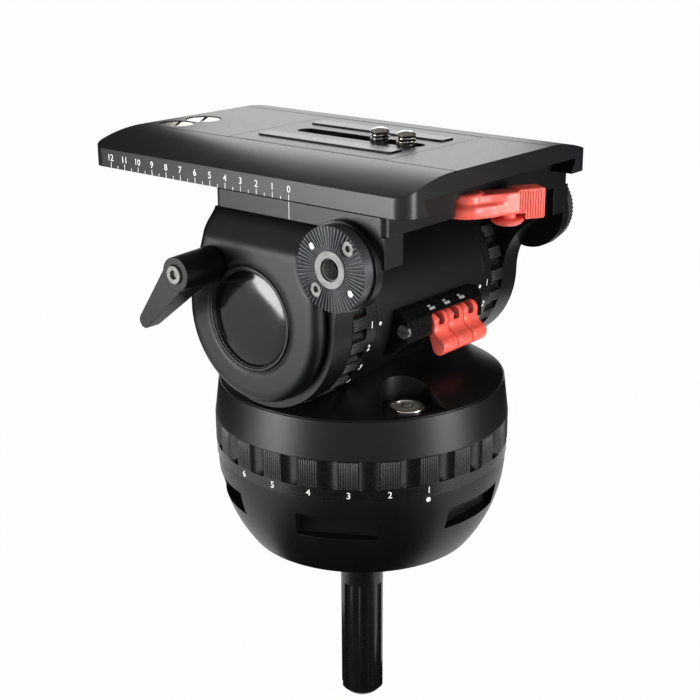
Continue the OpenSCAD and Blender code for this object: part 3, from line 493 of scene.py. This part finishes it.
class PieceColours(bpy.types.PropertyGroup):
    """Colours of the finishes."""

    coat: panel_colour("Powder Coat", "the coated castings and brake levers", "#0c0c0d")
    anodising: panel_colour("Anodising", "the camera plate", "#141416")
    nylon: panel_colour("Ring Nylon", "the drag rings and the tie-down handle", "#0e0e0f")
    rubbed_nylon: panel_colour("Pale Rib Nylon", "the grip ribs", "#262627")
    black_abs: panel_colour("Black ABS", "the balance block", "#0d0d0e")
    red_abs: panel_colour("Red ABS", "the red levers and button", "#f56152")
    nickel: panel_colour("Nickel", "the plated screws", "#d2cec5")
    # Painted shade colour for the camera screws' thread grooves
    old_oil: panel_colour("Groove Shade", "the oil in the camera screws' grooves", "#1a1816")
    satin_nickel: panel_colour("Satin Nickel", "the threaded inserts and small screws", "#8e8e8d")
    steel: panel_colour("Bearing Steel", "the bearings and discs", "#adadaf")
    aluminium: panel_colour("Aluminium", "the bare aluminium", "#b0b2b5")
    alloy: panel_colour("Blackened Alloy", "the toothed rosettes", "#5c5c5e")
    white_nylon: panel_colour("White Nylon", "the rosettes' dowels", "#eeece8")
    rubber: panel_colour("Rubber", "the plate's strips", "#0f0f10")
    acrylic: panel_colour("Acrylic", "the badge disc", "#070708")
    vial: panel_colour("Vial", "the level's liquid", "#8d8f86")
    white_ink: panel_colour("White Ink", "the numbers", "#eeeeec")
    grey_ink: panel_colour("Grey Ink", "the balance marks", "#a1a1a1")


class PieceSizes(bpy.types.PropertyGroup):
    """Sizes of the fine pieces."""

    screw_radius: panel_length("Screw Radius", "Radius of the camera screws' thread", 4.76)
    thread_pitch: panel_length("Thread Pitch", "Pitch of the camera screws' thread", 1.5875)
    thread_depth: panel_length("Thread Depth", "Depth of the camera screws' thread", 1.0)
    rib_height: panel_length("Rib Height", "How far the ribs of the grip pads stand out", 0.28)
    print_thickness: panel_length("Print Thickness", "Thickness of printed marks", 0.12)
    scale_digit: panel_length("Scale Digit Height", "Height of the numbers on the plate's scale", 3.2)
    dial_digit: panel_length("Dial Digit Height", "Height of the numbers on the drag rings", 3.3)


class StageSettings(bpy.types.PropertyGroup):
    """Camera, lamps and floor."""

    lens: bpy.props.FloatProperty(
        name="Lens", description="Focal length on a 36 mm sensor", default=70.1, unit="CAMERA")
    floor_colour: panel_colour("Floor Colour", "the floor", "#f2f2f2")
    world_level: bpy.props.FloatProperty(
        name="World Level", description="Strength of the even light round the object", default=0.45)
    key_power: bpy.props.FloatProperty(
        name="Key Power", description="Power of the lamp on the left", default=11.5, unit="POWER")
    back_power: bpy.props.FloatProperty(
        name="Back Power", description="Power of the lamp behind the plate", default=3.8, unit="POWER")
    side_power: bpy.props.FloatProperty(
        name="Side Power", description="Power of the lamp on the right", default=8.8, unit="POWER")


class HEAD_OT_finishes(bpy.types.Operator):
    """Give each CAD node that keeps its mesh the finish of the real piece"""

    bl_idname = "head.finishes"
    bl_label = "Finishes"

    def execute(self, context):
        for finish, names in FINISHES.items():
            for name in names:
                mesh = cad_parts[name].data
                mesh.materials.clear()
                mesh.materials.append(finish_of(finish))
        return {"FINISHED"}


class HEAD_OT_camera_screws(bpy.types.Operator):
    """Cut real threads on the two camera screws"""

    bl_idname = "head.camera_screws"
    bl_label = "Camera Screws"

    def execute(self, context):
        sizes = context.scene.head_sizes
        steps = 48
        head_height = 2.2 * MM
        chamfer = 0.2 * MM
        neck_radius = 4.1 * MM
        neck_top = PLATE[1].z + 0.4 * MM
        crown = 1.9 * MM
        crown_radius = sizes.screw_radius - 0.3 * MM
        crown_tip = 0.2 * MM
        for end in ("front", "rear"):
            low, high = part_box(f"camera_screw_{end}")
            head_radius = (high.x - low.x) / 2
            shank = low.z + head_height
            thread_top = high.z - crown
            foot = ((head_radius - chamfer, low.z), (head_radius, low.z + chamfer),
                    (head_radius, shank - chamfer), (head_radius - chamfer, shank),
                    (neck_radius, shank), (neck_radius, neck_top))
            rings = [circle_ring(radius, height, steps) for radius, height in foot]
            rings += thread_rings(sizes.screw_radius, sizes.thread_depth, sizes.thread_pitch,
                                  neck_top, thread_top, steps)
            for a in (math.radians(d) for d in (10, 25, 40, 55, 70, 82)):
                rings.append(circle_ring(crown_radius * math.cos(a), thread_top + crown * math.sin(a), steps))
            rings.append(circle_ring(crown_tip, high.z, steps))
            middle = (low + high) / 2
            shape = moved(skin_rings(rings), Matrix.Translation((middle.x, middle.y, 0)))
            screw = put_piece(f"threaded_camera_screw_{end}", shape, "nickel_plated_thread",
                              f"screw_{end}")
            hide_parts(f"camera_screw_{end}")
        return {"FINISHED"}


class HEAD_OT_rosette_inserts(bpy.types.Operator):
    """Cut the thread in the two rosette inserts"""

    bl_idname = "head.rosette_inserts"
    bl_label = "Rosette Inserts"

    def execute(self, context):
        steps = 48
        pitch = 1.5 * MM
        depth = 0.6 * MM
        bore = 4.5 * MM
        mouth = 0.7 * MM
        chamfer = 0.3 * MM
        for side in ("left", "right"):
            low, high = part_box(f"rosette_insert_{side}")
            middle = (low + high) / 2
            radius = (high.z - low.z) / 2
            length = high.x - low.x
            outside = ((bore + mouth, length), (radius - chamfer, length), (radius, length - chamfer),
                       (radius, 0), (bore + mouth, 0))
            rings = [circle_ring(r, height, steps) for r, height in outside]
            rings += thread_rings(bore + depth, depth, pitch, mouth, length - mouth, steps)
            sign, start = (1, low.x) if side == "right" else (-1, high.x)
            shape = moved(skin_rings(rings, close_loop=True), along_x((start, middle.y, middle.z), sign))
            insert = put_piece(f"threaded_insert_{side}", shape, "satin_nickel",
                               "tilt", smooth_below=30)
            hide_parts(f"rosette_insert_{side}")
        return {"FINISHED"}


class HEAD_OT_badge(bpy.types.Operator):
    """Dome the bare gloss disc on the left cover"""

    bl_idname = "head.badge"
    bl_label = "Badge Disc"

    def execute(self, context):
        low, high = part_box("badge_disc")
        middle = (low + high) / 2
        radius = (high.z - low.z) / 2
        height = high.x - low.x
        crown = 1.1 * MM
        edge = 0.25 * MM
        flatness = 6
        rim = height - crown
        profile = [(0, 0), (radius, 0), (radius, rim - edge)]
        for share in (0.995, 0.98, 0.95, 0.91, 0.86, 0.8, 0.72, 0.62, 0.5, 0.3, 0.12):
            profile.append((radius * share, rim + crown * (1 - share ** flatness)))
        profile.append((0, height))
        shape = moved(turned(profile, 96), along_x((high.x, middle.y, middle.z), -1))
        disc = put_piece("domed_badge", shape, "gloss_black_acrylic", "tilt")
        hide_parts("badge_disc")
        return {"FINISHED"}


class HEAD_OT_grip_ribs(bpy.types.Operator):
    """Raise the fine ribs on the grip pads of the three drag rings"""

    bl_idname = "head.grip_ribs"
    bl_label = "Grip Ribs"

    def execute(self, context):
        height = context.scene.head_sizes.rib_height
        pan_count, tilt_count = 8, 5
        low_gap, top_gap = 0.4 * MM, 0.3 * MM
        self.ribs("pan_ring_ribs", "pan_ring", Vector((0, 0, 0)), "Z", PAN_RADIUS,
                  PAN_RING[0].z + NUMBER_BAND + low_gap, PAN_RING[1].z - top_gap,
                  PAN_PAD_START, pan_count, height)
        inner_end = NUMBER_BAND + 2 * MM
        for side in ("left", "right"):
            low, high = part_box(f"tilt_drag_ring_{side}")
            middle = (low + high) / 2
            start, stop = (low.x, high.x - inner_end) if side == "left" else (low.x + inner_end, high.x)
            self.ribs(f"tilt_ring_ribs_{side}", f"tilt_ring_{side}", Vector((0, middle.y, middle.z)), "X",
                      TILT_RADIUS, start + low_gap, stop - low_gap, 0.0, tilt_count, height)
        return {"FINISHED"}

    def ribs(self, name, body, centre, axis, radius, low, high, start, count, height):
        """Half-round bars on every pad of one ring, as one piece."""
        pad_fill, rib_share = 0.94, 0.36
        pitch = PAD_STEP * PAD_SHARE * pad_fill / count
        half = pitch * rib_share
        sunk = 0.15 * MM
        taper, end_share = 0.3 * MM, 0.35
        sections, fullness = 5, 0.7
        stations = ((low, end_share), (low + taper, 1.0), (high - taper, 1.0), (high, end_share))
        bars = []
        for angle in (start + pad * PAD_STEP + (k - (count - 1) / 2) * pitch
                      for pad in range(PAD_COUNT) for k in range(count)):
            rings = []
            for station, share in stations:
                ring = [self.point(axis, centre, radius - sunk, angle - half, station)]
                for u in (s / sections for s in range(sections + 1)):
                    rise = height * share * math.sin(math.pi * u) ** fullness
                    ring.append(self.point(axis, centre, radius + rise, angle + (2 * u - 1) * half, station))
                ring.append(self.point(axis, centre, radius - sunk, angle + half, station))
                rings.append(ring)
            bars.append(skin_rings(rings))
        put_piece(name, join_shapes(bars), "rubbed_glass_filled_nylon", body)

    def point(self, axis, centre, radius, angle, station):
        """A point on a ring, by its direction and its station along the ring's axis."""
        if axis == "Z":
            return centre + Vector((radius * math.cos(angle), radius * math.sin(angle), station))
        return centre + Vector((station, -radius * math.sin(angle), radius * math.cos(angle)))


class HEAD_OT_balance_paddles(bpy.types.Operator):
    """Shape the three red balance levers: two prongs on the pin and a waved blade with a round tip"""

    bl_idname = "head.balance_paddles"
    bl_label = "Balance Paddles"

    def execute(self, context):
        low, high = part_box("lever_pin")
        pin = (low + high) / 2
        hang = math.radians(246)
        down = Vector((0, math.cos(hang), math.sin(hang)))
        out = Vector((0, math.sin(hang), -math.cos(hang)))
        path = self.outline()
        middle = Vector((6.0, 0.6, 0))
        rim = 0.5
        bore_radius, bore_steps = 1.75 * MM, 32
        slot_share, slot_reach, slot_length, slot_round = 0.2, 8 * MM, 10 * MM, 0.8 * MM
        slot_floor = pin + down * 2.9 * MM
        turn = Matrix((Vector((1, 0, 0)), out, -down)).transposed().to_4x4()
        for k in (1, 2, 3):
            left, right = (corner.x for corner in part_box(f"balance_lever_{k}"))
            rings = []
            for x, shrink in ((left, rim), (left + rim * MM, 0), (right - rim * MM, 0), (right, rim)):
                inset = [p + (middle - p).normalized() * shrink for p in path]
                rings.append([Vector((x, pin.y, pin.z)) + (down * q.x + out * q.y) * MM for q in inset])
            half = (right - left) * slot_share
            slot = box_shape((-half, -slot_reach, 0), (half, slot_reach, slot_length), slot_round)
            moved(slot, Matrix.Translation(((left + right) / 2, slot_floor.y, slot_floor.z)) @ turn)
            spokes = [(down * math.cos(a) + out * math.sin(a)) * bore_radius
                      for a in (2 * math.pi * i / bore_steps for i in range(bore_steps))]
            bore = skin_rings([[Vector((x, pin.y, pin.z)) + spoke for spoke in spokes]
                               for x in (left - MM, right + MM)])
            shape = carved(skin_rings(rings), (slot, bore))
            paddle = put_piece(f"balance_paddle_{k}", shape, "moulded_red_abs",
                               f"lever_{k}", smooth_below=35)
            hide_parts(f"balance_lever_{k}")
        return {"FINISHED"}

    def outline(self):
        """A paddle seen from its side, in millimetres from the pin: along the blade, and outwards."""
        hub = 4.15
        points = [(hub * math.cos(a), hub * math.sin(a))
                  for a in (math.radians(d) for d in (250, 220, 190, 160, 130, 100, 78))]
        points += [(3.6, 2.9), (6.4, 2.4), (8.8, 3.3), (11.0, 4.9), (13.2, 5.2), (15.2, 4.2), (16.5, 2.4),
                   (16.9, 0.4), (16.1, -1.5), (13.8, -2.4), (10.0, -2.1), (6.0, -2.2), (3.2, -3.0)]
        return smooth_path([(along, outwards, 0) for along, outwards in points])


class HEAD_OT_plate_lock(bpy.types.Operator):
    """Shape the red plate lock: a rounded hub and arm, a ribbed grip, and the button under it"""

    bl_idname = "head.plate_lock"
    bl_label = "Plate Lock"

    def execute(self, context):
        low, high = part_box("lock_pin")
        foot = Vector(((low.x + high.x) / 2, (low.y + high.y) / 2, low.z))
        stand = Matrix.Translation(foot) @ Matrix.Rotation(math.radians(LOCK_TURN), 4, "Z")
        lever = put_piece("lock_handle", moved(self.lever(), stand), "moulded_red_abs",
                          "lock", smooth_below=50)
        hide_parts("plate_lock_lever")
        put_piece("lock_grip_ribs", moved(self.ribs(), stand), "moulded_red_abs", "lock")
        under_arm = stand @ Matrix.Translation(Vector((*LOCK_BUTTON, 0)) * MM)
        button = put_piece("domed_button", moved(self.button(), under_arm), "moulded_red_abs",
                           "button", smooth_below=50)
        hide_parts("safety_button")
        return {"FINISHED"}

    def drum(self, at, radius, low, high):
        """A round cutter, in millimetres."""
        shape = turned([(0, low * MM), (radius * MM, low * MM), (radius * MM, high * MM), (0, high * MM)], 48)
        return moved(shape, Matrix.Translation(Vector((*at, 0)) * MM))

    def lever(self):
        """Hub, arm and grip about the pin, with room for the pin and the button, in millimetres."""
        thick = 11.4
        hub = [(0, 0), (8.4, 0), (9.9, 0.7), (10.9, 2.4), (11.0, 4.4), (10.0, 6.0), (8.9, 6.6),
               (8.8, thick - 1), (7.8, thick), (0, thick)]
        parts = [turned([(r * MM, h * MM) for r, h in hub], 72)]
        arm_floor, arm_front = 0.2, 3.4
        for ceiling, back_edge in ((6.2, -10.6), (thick - 0.9, -8.0)):
            rings = []
            for u, back in ((0, back_edge), (10, back_edge + 0.8), (18, -7.6), (25, -6.7)):
                rings.append([Vector((u, v, z)) * MM
                              for v, z in ((back, arm_floor), (arm_front, arm_floor),
                                           (arm_front, ceiling), (back, ceiling))])
            parts.append(skin_rings(rings))
        parts.append(box_shape((24 * MM, -6.7 * MM, -2.7 * MM), (37.9 * MM, 3.8 * MM, 11.6 * MM)))
        pin_bore = self.drum((0, 0), 2.4, -2, 20)
        pin_head = self.drum((0, 0), 5.2, -2, 2.1)
        button_room = self.drum(LOCK_BUTTON, 8.3, -6, 0.5)
        spring_pocket = self.drum(LOCK_BUTTON, 4.2, -4, 2.6)
        stem_hole = self.drum(LOCK_BUTTON, 3.2, -4, 6.6)
        return carved(join_shapes(parts), (pin_bore, pin_head, button_room, spring_pocket, stem_hole),
                      voxel=0.55 * MM, rounds=10)

    def ribs(self):
        """Upright ribs on the grip's face; those beside the button start above it."""
        count, first, span = 10, 25.0, 12.0
        face, depth = -6.5, 1.1
        low, low_at_button, high = -1.9, 0.8, 10.8
        taper, thick, thin = 0.5, 0.5, 0.25
        room, sides = 9, 12
        bars = []
        for k in range(count):
            u = first + span * k / (count - 1)
            near = math.hypot(u - LOCK_BUTTON[0], face - LOCK_BUTTON[1]) < room
            start = low_at_button if near else low
            rings = []
            for z, size in ((start, thin), (start + taper, thick), (high - taper, thick), (high, thin)):
                rings.append([Vector((u + size * math.sin(a), face - size * depth * math.cos(a), z)) * MM
                              for a in (2 * math.pi * i / sides for i in range(sides))])
            bars.append(skin_rings(rings))
        return join_shapes(bars)

    def button(self):
        """The domed button with its stem, which points up."""
        cap = [(0, -5.6), (3.0, -5.45), (5.4, -4.9), (7.0, -3.9), (7.7, -2.9), (7.5, -2.3), (6.9, -1.95),
               (4.0, -1.9), (4.0, 0.3), (2.9, 0.3), (2.9, 3.9), (0, 3.9)]
        return turned([(r * MM, h * MM) for r, h in cap], 72)


class HEAD_OT_bubble_level(bpy.types.Operator):
    """Make the level's rounded ring, its vial, the ring mark and the bubble"""

    bl_idname = "head.bubble_level"
    bl_label = "Bubble Level"

    def execute(self, context):
        low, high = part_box("level_bezel")
        foot = Matrix.Translation(((low.x + high.x) / 2, (low.y + high.y) / 2, low.z))
        radius = (high.x - low.x) / 2
        wall = 1.5 * MM
        lip, lip_rise, rise = wall / 2, 0.5 * MM, 1.1 * MM
        profile = [(radius - wall, 0), (radius, 0)]
        for a in (math.pi * k / 8 for k in range(9)):
            profile.append((radius - lip + lip * math.cos(a), rise - lip_rise + lip_rise * math.sin(a)))
        ring = put_piece("level_ring", moved(turned(profile, 96), foot), "nickel_plated_steel",
                         "pan")
        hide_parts("level_bezel")

        bowl = radius - wall
        glass_top = 0.75 * MM
        profile = [(0, 0), (bowl, 0), (bowl, 0.5 * MM), (bowl - 0.9 * MM, 0.35 * MM),
                   (bowl - 1.3 * MM, 0.55 * MM), (bowl - 2.2 * MM, 0.7 * MM), (0, glass_top)]
        glass = put_piece("level_glass", moved(turned(profile, 96), foot), "vial_acrylic", "pan")
        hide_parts("level_vial")

        on_glass = foot @ Matrix.Translation((0, 0, glass_top))
        inner, outer, thick = 2.55 * MM, 2.9 * MM, 0.06 * MM
        mark = turned([(inner, 0), (outer, 0), (outer, thick), (inner, thick)])
        put_piece("level_ring_mark", moved(mark, on_glass), "moulded_black_abs", "pan")

        reach, rise, sunk = 2.1 * MM, 0.3 * MM, 0.05 * MM
        profile = [(0, -sunk)] + [(reach * math.cos(a), rise * math.sin(a))
                                  for a in (0, 0.3, 0.6, 0.9, 1.2, 1.4)] + [(0, rise)]
        off_centre = Matrix.Translation((0.7 * MM, 0.4 * MM, 0))
        put_piece("level_bubble", moved(turned(profile), on_glass @ off_centre), "vial_acrylic",
                  "pan")
        return {"FINISHED"}


class HEAD_OT_plate_scale(bpy.types.Operator):
    """Print the centimetre scale on the plate's side and its index line"""

    bl_idname = "head.plate_scale"
    bl_label = "Plate Scale"

    def execute(self, context):
        sizes = context.scene.head_sizes
        thick = sizes.print_thickness
        side = PLATE[0].x
        foot = PLATE[0].z + 0.1 * MM
        zero = -19 * MM
        half_step, line_count = 5 * MM, 25
        line = 0.17 * MM
        tall, short = 2.7 * MM, 1.5 * MM
        gap = 0.8 * MM
        shapes = []
        for k in range(line_count):
            y = zero + k * half_step
            rise = short if k % 2 else tall
            shapes.append(box_shape((side - thick / 2, y - line, foot),
                                    (side + thick / 2, y + line, foot + rise)))
            if k % 2 == 0:
                number = digits(str(k // 2), sizes.scale_digit, thick)
                centre = (side, y, foot + tall + gap + sizes.scale_digit / 2)
                shapes.append(place(number, centre, (0, -1, 0), (0, 0, 1)))
        put_piece("plate_scale", join_shapes(shapes), "white_print_ink", "plate")

        edge = RECEIVER[0].x
        cover_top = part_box("side_cover_left")[1].z
        mark = box_shape((edge - thick / 2, zero - line, cover_top + 0.4 * MM),
                         (edge + thick / 2, zero + line, PLATE[0].z - 0.5 * MM))
        put_piece("scale_index", mark, "white_print_ink", "tilt")
        return {"FINISHED"}


class HEAD_OT_dial_numbers(bpy.types.Operator):
    """Print the numbers and index dots of the drag rings"""

    bl_idname = "head.dial_numbers"
    bl_label = "Dial Numbers"

    def execute(self, context):
        sizes = context.scene.head_sizes
        thick = sizes.print_thickness
        ink = "white_print_ink"
        band_middle = PAN_RING[0].z + 2.7 * MM
        shapes = [self.on_pan(digits(str(number), sizes.dial_digit, thick),
                              PAN_RADIUS, band_middle, direction)
                  for number, direction in PAN_NUMBERS.items()]
        put_piece("pan_ring_numbers", join_shapes(shapes), ink, "pan_ring")

        dot_radius, dot_height = 1.2 * MM, -2.3 * MM
        # So near the ball's equator its side leans in by only this share
        ball_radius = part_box("half_ball")[1].x * 0.9995
        dot = self.on_pan(self.dot(dot_radius, thick), ball_radius, dot_height, PAN_NUMBERS[1])
        put_piece("pan_index_dot", dot, ink, "base")

        number_station, dot_station = 46.2 * MM, 40 * MM
        drum_dot_radius = 0.9 * MM
        dots = []
        for side, sign in (("left", -1), ("right", 1)):
            shapes = [self.on_drum(digits(str(number), sizes.dial_digit, thick),
                                   sign * number_station, direction)
                      for number, direction in TILT_NUMBERS.items()]
            put_piece(f"tilt_ring_numbers_{side}", join_shapes(shapes), ink,
                      f"tilt_ring_{side}")
            dots.append(self.on_drum(self.dot(drum_dot_radius, thick),
                                     sign * dot_station, TILT_NUMBERS[1] - 1))
        put_piece("drum_index_dots", join_shapes(dots), ink, "pan")
        return {"FINISHED"}

    def dot(self, radius, thick):
        """A printed dot, centred on the origin and facing +Z."""
        return turned([(0, -thick / 2), (radius, -thick / 2), (radius, thick / 2), (0, thick / 2)], 32)

    def on_pan(self, shape, radius, height, direction):
        """Puts a printed mark on a round side about the pan axis, direction in degrees from +X."""
        a = math.radians(direction)
        centre = Vector((radius * math.cos(a), radius * math.sin(a), height))
        return place(shape, centre, (-math.sin(a), math.cos(a), 0), (0, 0, 1))

    def on_drum(self, shape, x, direction):
        """Puts a printed mark on the drum's rear, direction in degrees above the tilt axis."""
        a = math.radians(direction)
        out = Vector((0, -math.cos(a), math.sin(a)))
        up = Vector((0, math.sin(a), math.cos(a)))
        centre = Vector((x, TILT_AXIS.y, TILT_AXIS.z)) + out * TILT_RADIUS
        return place(shape, centre, (1, 0, 0), up)


class HEAD_OT_balance_marks(bpy.types.Operator):
    """Print the small marks over the balance levers"""

    bl_idname = "head.balance_marks"
    bl_label = "Balance Marks"

    def execute(self, context):
        thick = context.scene.head_sizes.print_thickness
        slope_run, slope_drop = 4 * MM, 4.5 * MM
        slope_top = Vector((0, BLOCK[0].y + slope_run, BLOCK[1].z))
        slope_foot = Vector((0, BLOCK[0].y, BLOCK[1].z - slope_drop))
        up = (slope_top - slope_foot).normalized()
        left_of_lever = 4 * MM
        shapes = []
        for k in (1, 2, 3):
            low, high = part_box(f"balance_lever_{k}")
            x = (low.x + high.x) / 2 - left_of_lever
            # A wide bar and a narrow one over it: place along and up the slope, width, height, in mm
            for along, rise, width, height in ((0, 2.5, 4.2, 1.4), (-1.4, 4.1, 2.2, 0.8)):
                centre = slope_foot + up * rise * MM + Vector((x + along * MM, 0, 0))
                mark = box_shape((-width / 2 * MM, -height / 2 * MM, -thick / 2),
                                 (width / 2 * MM, height / 2 * MM, thick / 2))
                shapes.append(place(mark, centre, (1, 0, 0), up))
        put_piece("balance_marks", join_shapes(shapes), "grey_print_ink", "pan")
        return {"FINISHED"}


class HEAD_OT_stage(bpy.types.Operator):
    """Set the floor, the light and the camera"""

    bl_idname = "head.stage"
    bl_label = "Stage"

    def execute(self, context):
        stage = context.scene.head_stage
        context.scene.view_settings.view_transform = "Standard"
        self.floor(stage)
        self.world(context, stage)
        for name, (place_at, size) in LAMPS.items():
            self.lamp(f"{name}_lamp", place_at, size, getattr(stage, f"{name}_power"))
        for name, (place_at, size, lying) in CARDS.items():
            self.flag(name, place_at, size, lying)
        self.camera(context, stage)
        return {"FINISHED"}

    def background_rays(self, tree):
        """1 where a camera, glossy or transmitted ray looks, and 0 for the light on the object."""
        path = add_node(tree, "LightPath")
        seen = add_node(tree, "Math", {0: path.outputs["Is Camera Ray"],
                                       1: path.outputs["Is Glossy Ray"]}, operation="MAXIMUM")
        return add_node(tree, "Math", {0: seen.outputs[0], 1: path.outputs["Is Transmission Ray"]},
                        operation="MAXIMUM").outputs[0]

    def floor(self, stage):
        """A wide pale floor that whitens to the eye and keeps a shadow."""
        size = (16.0, 16.0)
        glow_share = 0.97
        material, tree = new_material("matt_paper_floor")
        paint = add_node(tree, "BsdfDiffuse", {"Color": (*stage.floor_colour, 1.0)})
        glow = add_node(tree, "Emission", {"Color": (1, 1, 1, 1), "Strength": 1.0})
        share = add_node(tree, "Math", {0: self.background_rays(tree), 1: glow_share}, operation="MULTIPLY")
        both = add_node(tree, "MixShader", {0: share.outputs[0], 1: paint.outputs[0], 2: glow.outputs[0]})
        add_node(tree, "OutputMaterial", {"Surface": both.outputs[0]})
        floor = self.sheet("floor", size, material)
        floor.location.z = CAD_BOX[0][2]

    def sheet(self, name, size, material):
        """A flat square about its own origin."""
        wide, high = size[0] / 2, size[1] / 2
        mesh = bpy.data.meshes.new(name)
        mesh.from_pydata([(x * wide, y * high, 0) for x, y in ((-1, -1), (1, -1), (1, 1), (-1, 1))],
                         [], [(0, 1, 2, 3)])
        mesh.materials.append(material)
        return add_object(name, mesh)

    def world(self, context, stage):
        """White behind the object under a dim ceiling, and even light of a plain level on it."""
        world = bpy.data.worlds.new("studio")
        world.use_nodes = True
        tree = world.node_tree
        tree.nodes.clear()
        light = add_node(tree, "Background", {"Color": (1, 1, 1, 1), "Strength": stage.world_level})
        way = add_node(tree, "TexCoord").outputs["Generated"]
        height = add_node(tree, "SeparateXYZ", {"Vector": way}).outputs["Z"]
        ceiling = add_node(tree, "MapRange", {"Value": height, "From Min": 0.1, "From Max": 0.6,
                                              "To Min": 1.0, "To Max": 0.2})
        white = add_node(tree, "Background", {"Color": (1, 1, 1, 1), "Strength": ceiling.outputs["Result"]})
        both = add_node(tree, "MixShader", {0: self.background_rays(tree), 1: light.outputs[0],
                                            2: white.outputs[0]})
        add_node(tree, "OutputWorld", {"Surface": both.outputs[0]})
        context.scene.world = world

    def lamp(self, name, place_at, size, power):
        """A soft area lamp that looks at the object."""
        data = bpy.data.lights.new(name, "AREA")
        data.shape = "RECTANGLE"
        data.size, data.size_y = size
        data.energy = power
        lamp = add_object(name, data)
        lamp.location = place_at
        lamp.rotation_mode = "QUATERNION"
        lamp.rotation_quaternion = (LIT_POINT - lamp.location).to_track_quat("-Z", "Y")

    def flag(self, name, place_at, size, lying):
        """A black card out of the picture, which only reflections see: it keeps the blacks deep."""
        faces = Vector((0, 0, 1)) if lying else LIT_POINT - Vector(place_at)
        towards = faces.to_track_quat("Z", "Y").to_matrix().to_4x4()
        material, tree = new_material("black_velvet")
        cloth = add_node(tree, "BsdfDiffuse", {"Color": linear("#050505")})
        add_node(tree, "OutputMaterial", {"Surface": cloth.outputs[0]})
        card = self.sheet(name, size, material)
        card.matrix_world = Matrix.Translation(place_at) @ towards
        card.visible_camera = False
        card.visible_diffuse = False
        card.visible_shadow = False

    def camera(self, context, stage):
        """The photograph's point of view."""
        data = bpy.data.cameras.new("camera")
        data.lens = stage.lens
        data.sensor_width = 36.0
        data.clip_start, data.clip_end = 0.01, 100.0
        camera = add_object("camera", data)
        towards = (CAMERA_AIM - CAMERA_PLACE).to_track_quat("-Z", "Y").to_matrix().to_4x4()
        roll = Matrix.Rotation(CAMERA_ROLL, 4, "Z")
        camera.matrix_world = Matrix.Translation(CAMERA_PLACE) @ towards @ roll
        context.scene.camera = camera


GROUPS = {"head_colours": PieceColours, "head_sizes": PieceSizes, "head_stage": StageSettings}
PIECE_OPERATORS = (HEAD_OT_finishes, HEAD_OT_camera_screws, HEAD_OT_rosette_inserts, HEAD_OT_badge,
                   HEAD_OT_grip_ribs, HEAD_OT_balance_paddles, HEAD_OT_plate_lock,
                   HEAD_OT_bubble_level, HEAD_OT_plate_scale, HEAD_OT_dial_numbers, HEAD_OT_balance_marks,
                   HEAD_OT_stage)


class HEAD_PT_panel(bpy.types.Panel):
    """Lists the steps that dress the head"""

    bl_label = "Video Head"
    bl_idname = "HEAD_PT_panel"
    bl_space_type = "VIEW_3D"
    bl_region_type = "UI"
    bl_category = "Video Head"

    def draw(self, context):
        for group in (getattr(context.scene, key) for key in GROUPS):
            for name in group.__annotations__:
                self.layout.prop(group, name)
        for operator in PIECE_OPERATORS:
            self.layout.operator(operator.bl_idname)


CLASSES = (*GROUPS.values(), *PIECE_OPERATORS, HEAD_PT_panel)


def register():
    for each in CLASSES:
        bpy.utils.register_class(each)
    for name, group in GROUPS.items():
        setattr(bpy.types.Scene, name, bpy.props.PointerProperty(type=group))


def unregister():
    for name in GROUPS:
        delattr(bpy.types.Scene, name)
    for each in reversed(CLASSES):
        bpy.utils.unregister_class(each)


def main():
    register()
    bpy.ops.head.finishes()
    bpy.ops.head.camera_screws()
    bpy.ops.head.rosette_inserts()
    bpy.ops.head.badge()
    bpy.ops.head.grip_ribs()
    bpy.ops.head.balance_paddles()
    bpy.ops.head.plate_lock()
    bpy.ops.head.bubble_level()
    bpy.ops.head.plate_scale()
    bpy.ops.head.dial_numbers()
    bpy.ops.head.balance_marks()
    bpy.ops.head.stage()


if __name__ == "__main__":
    main()
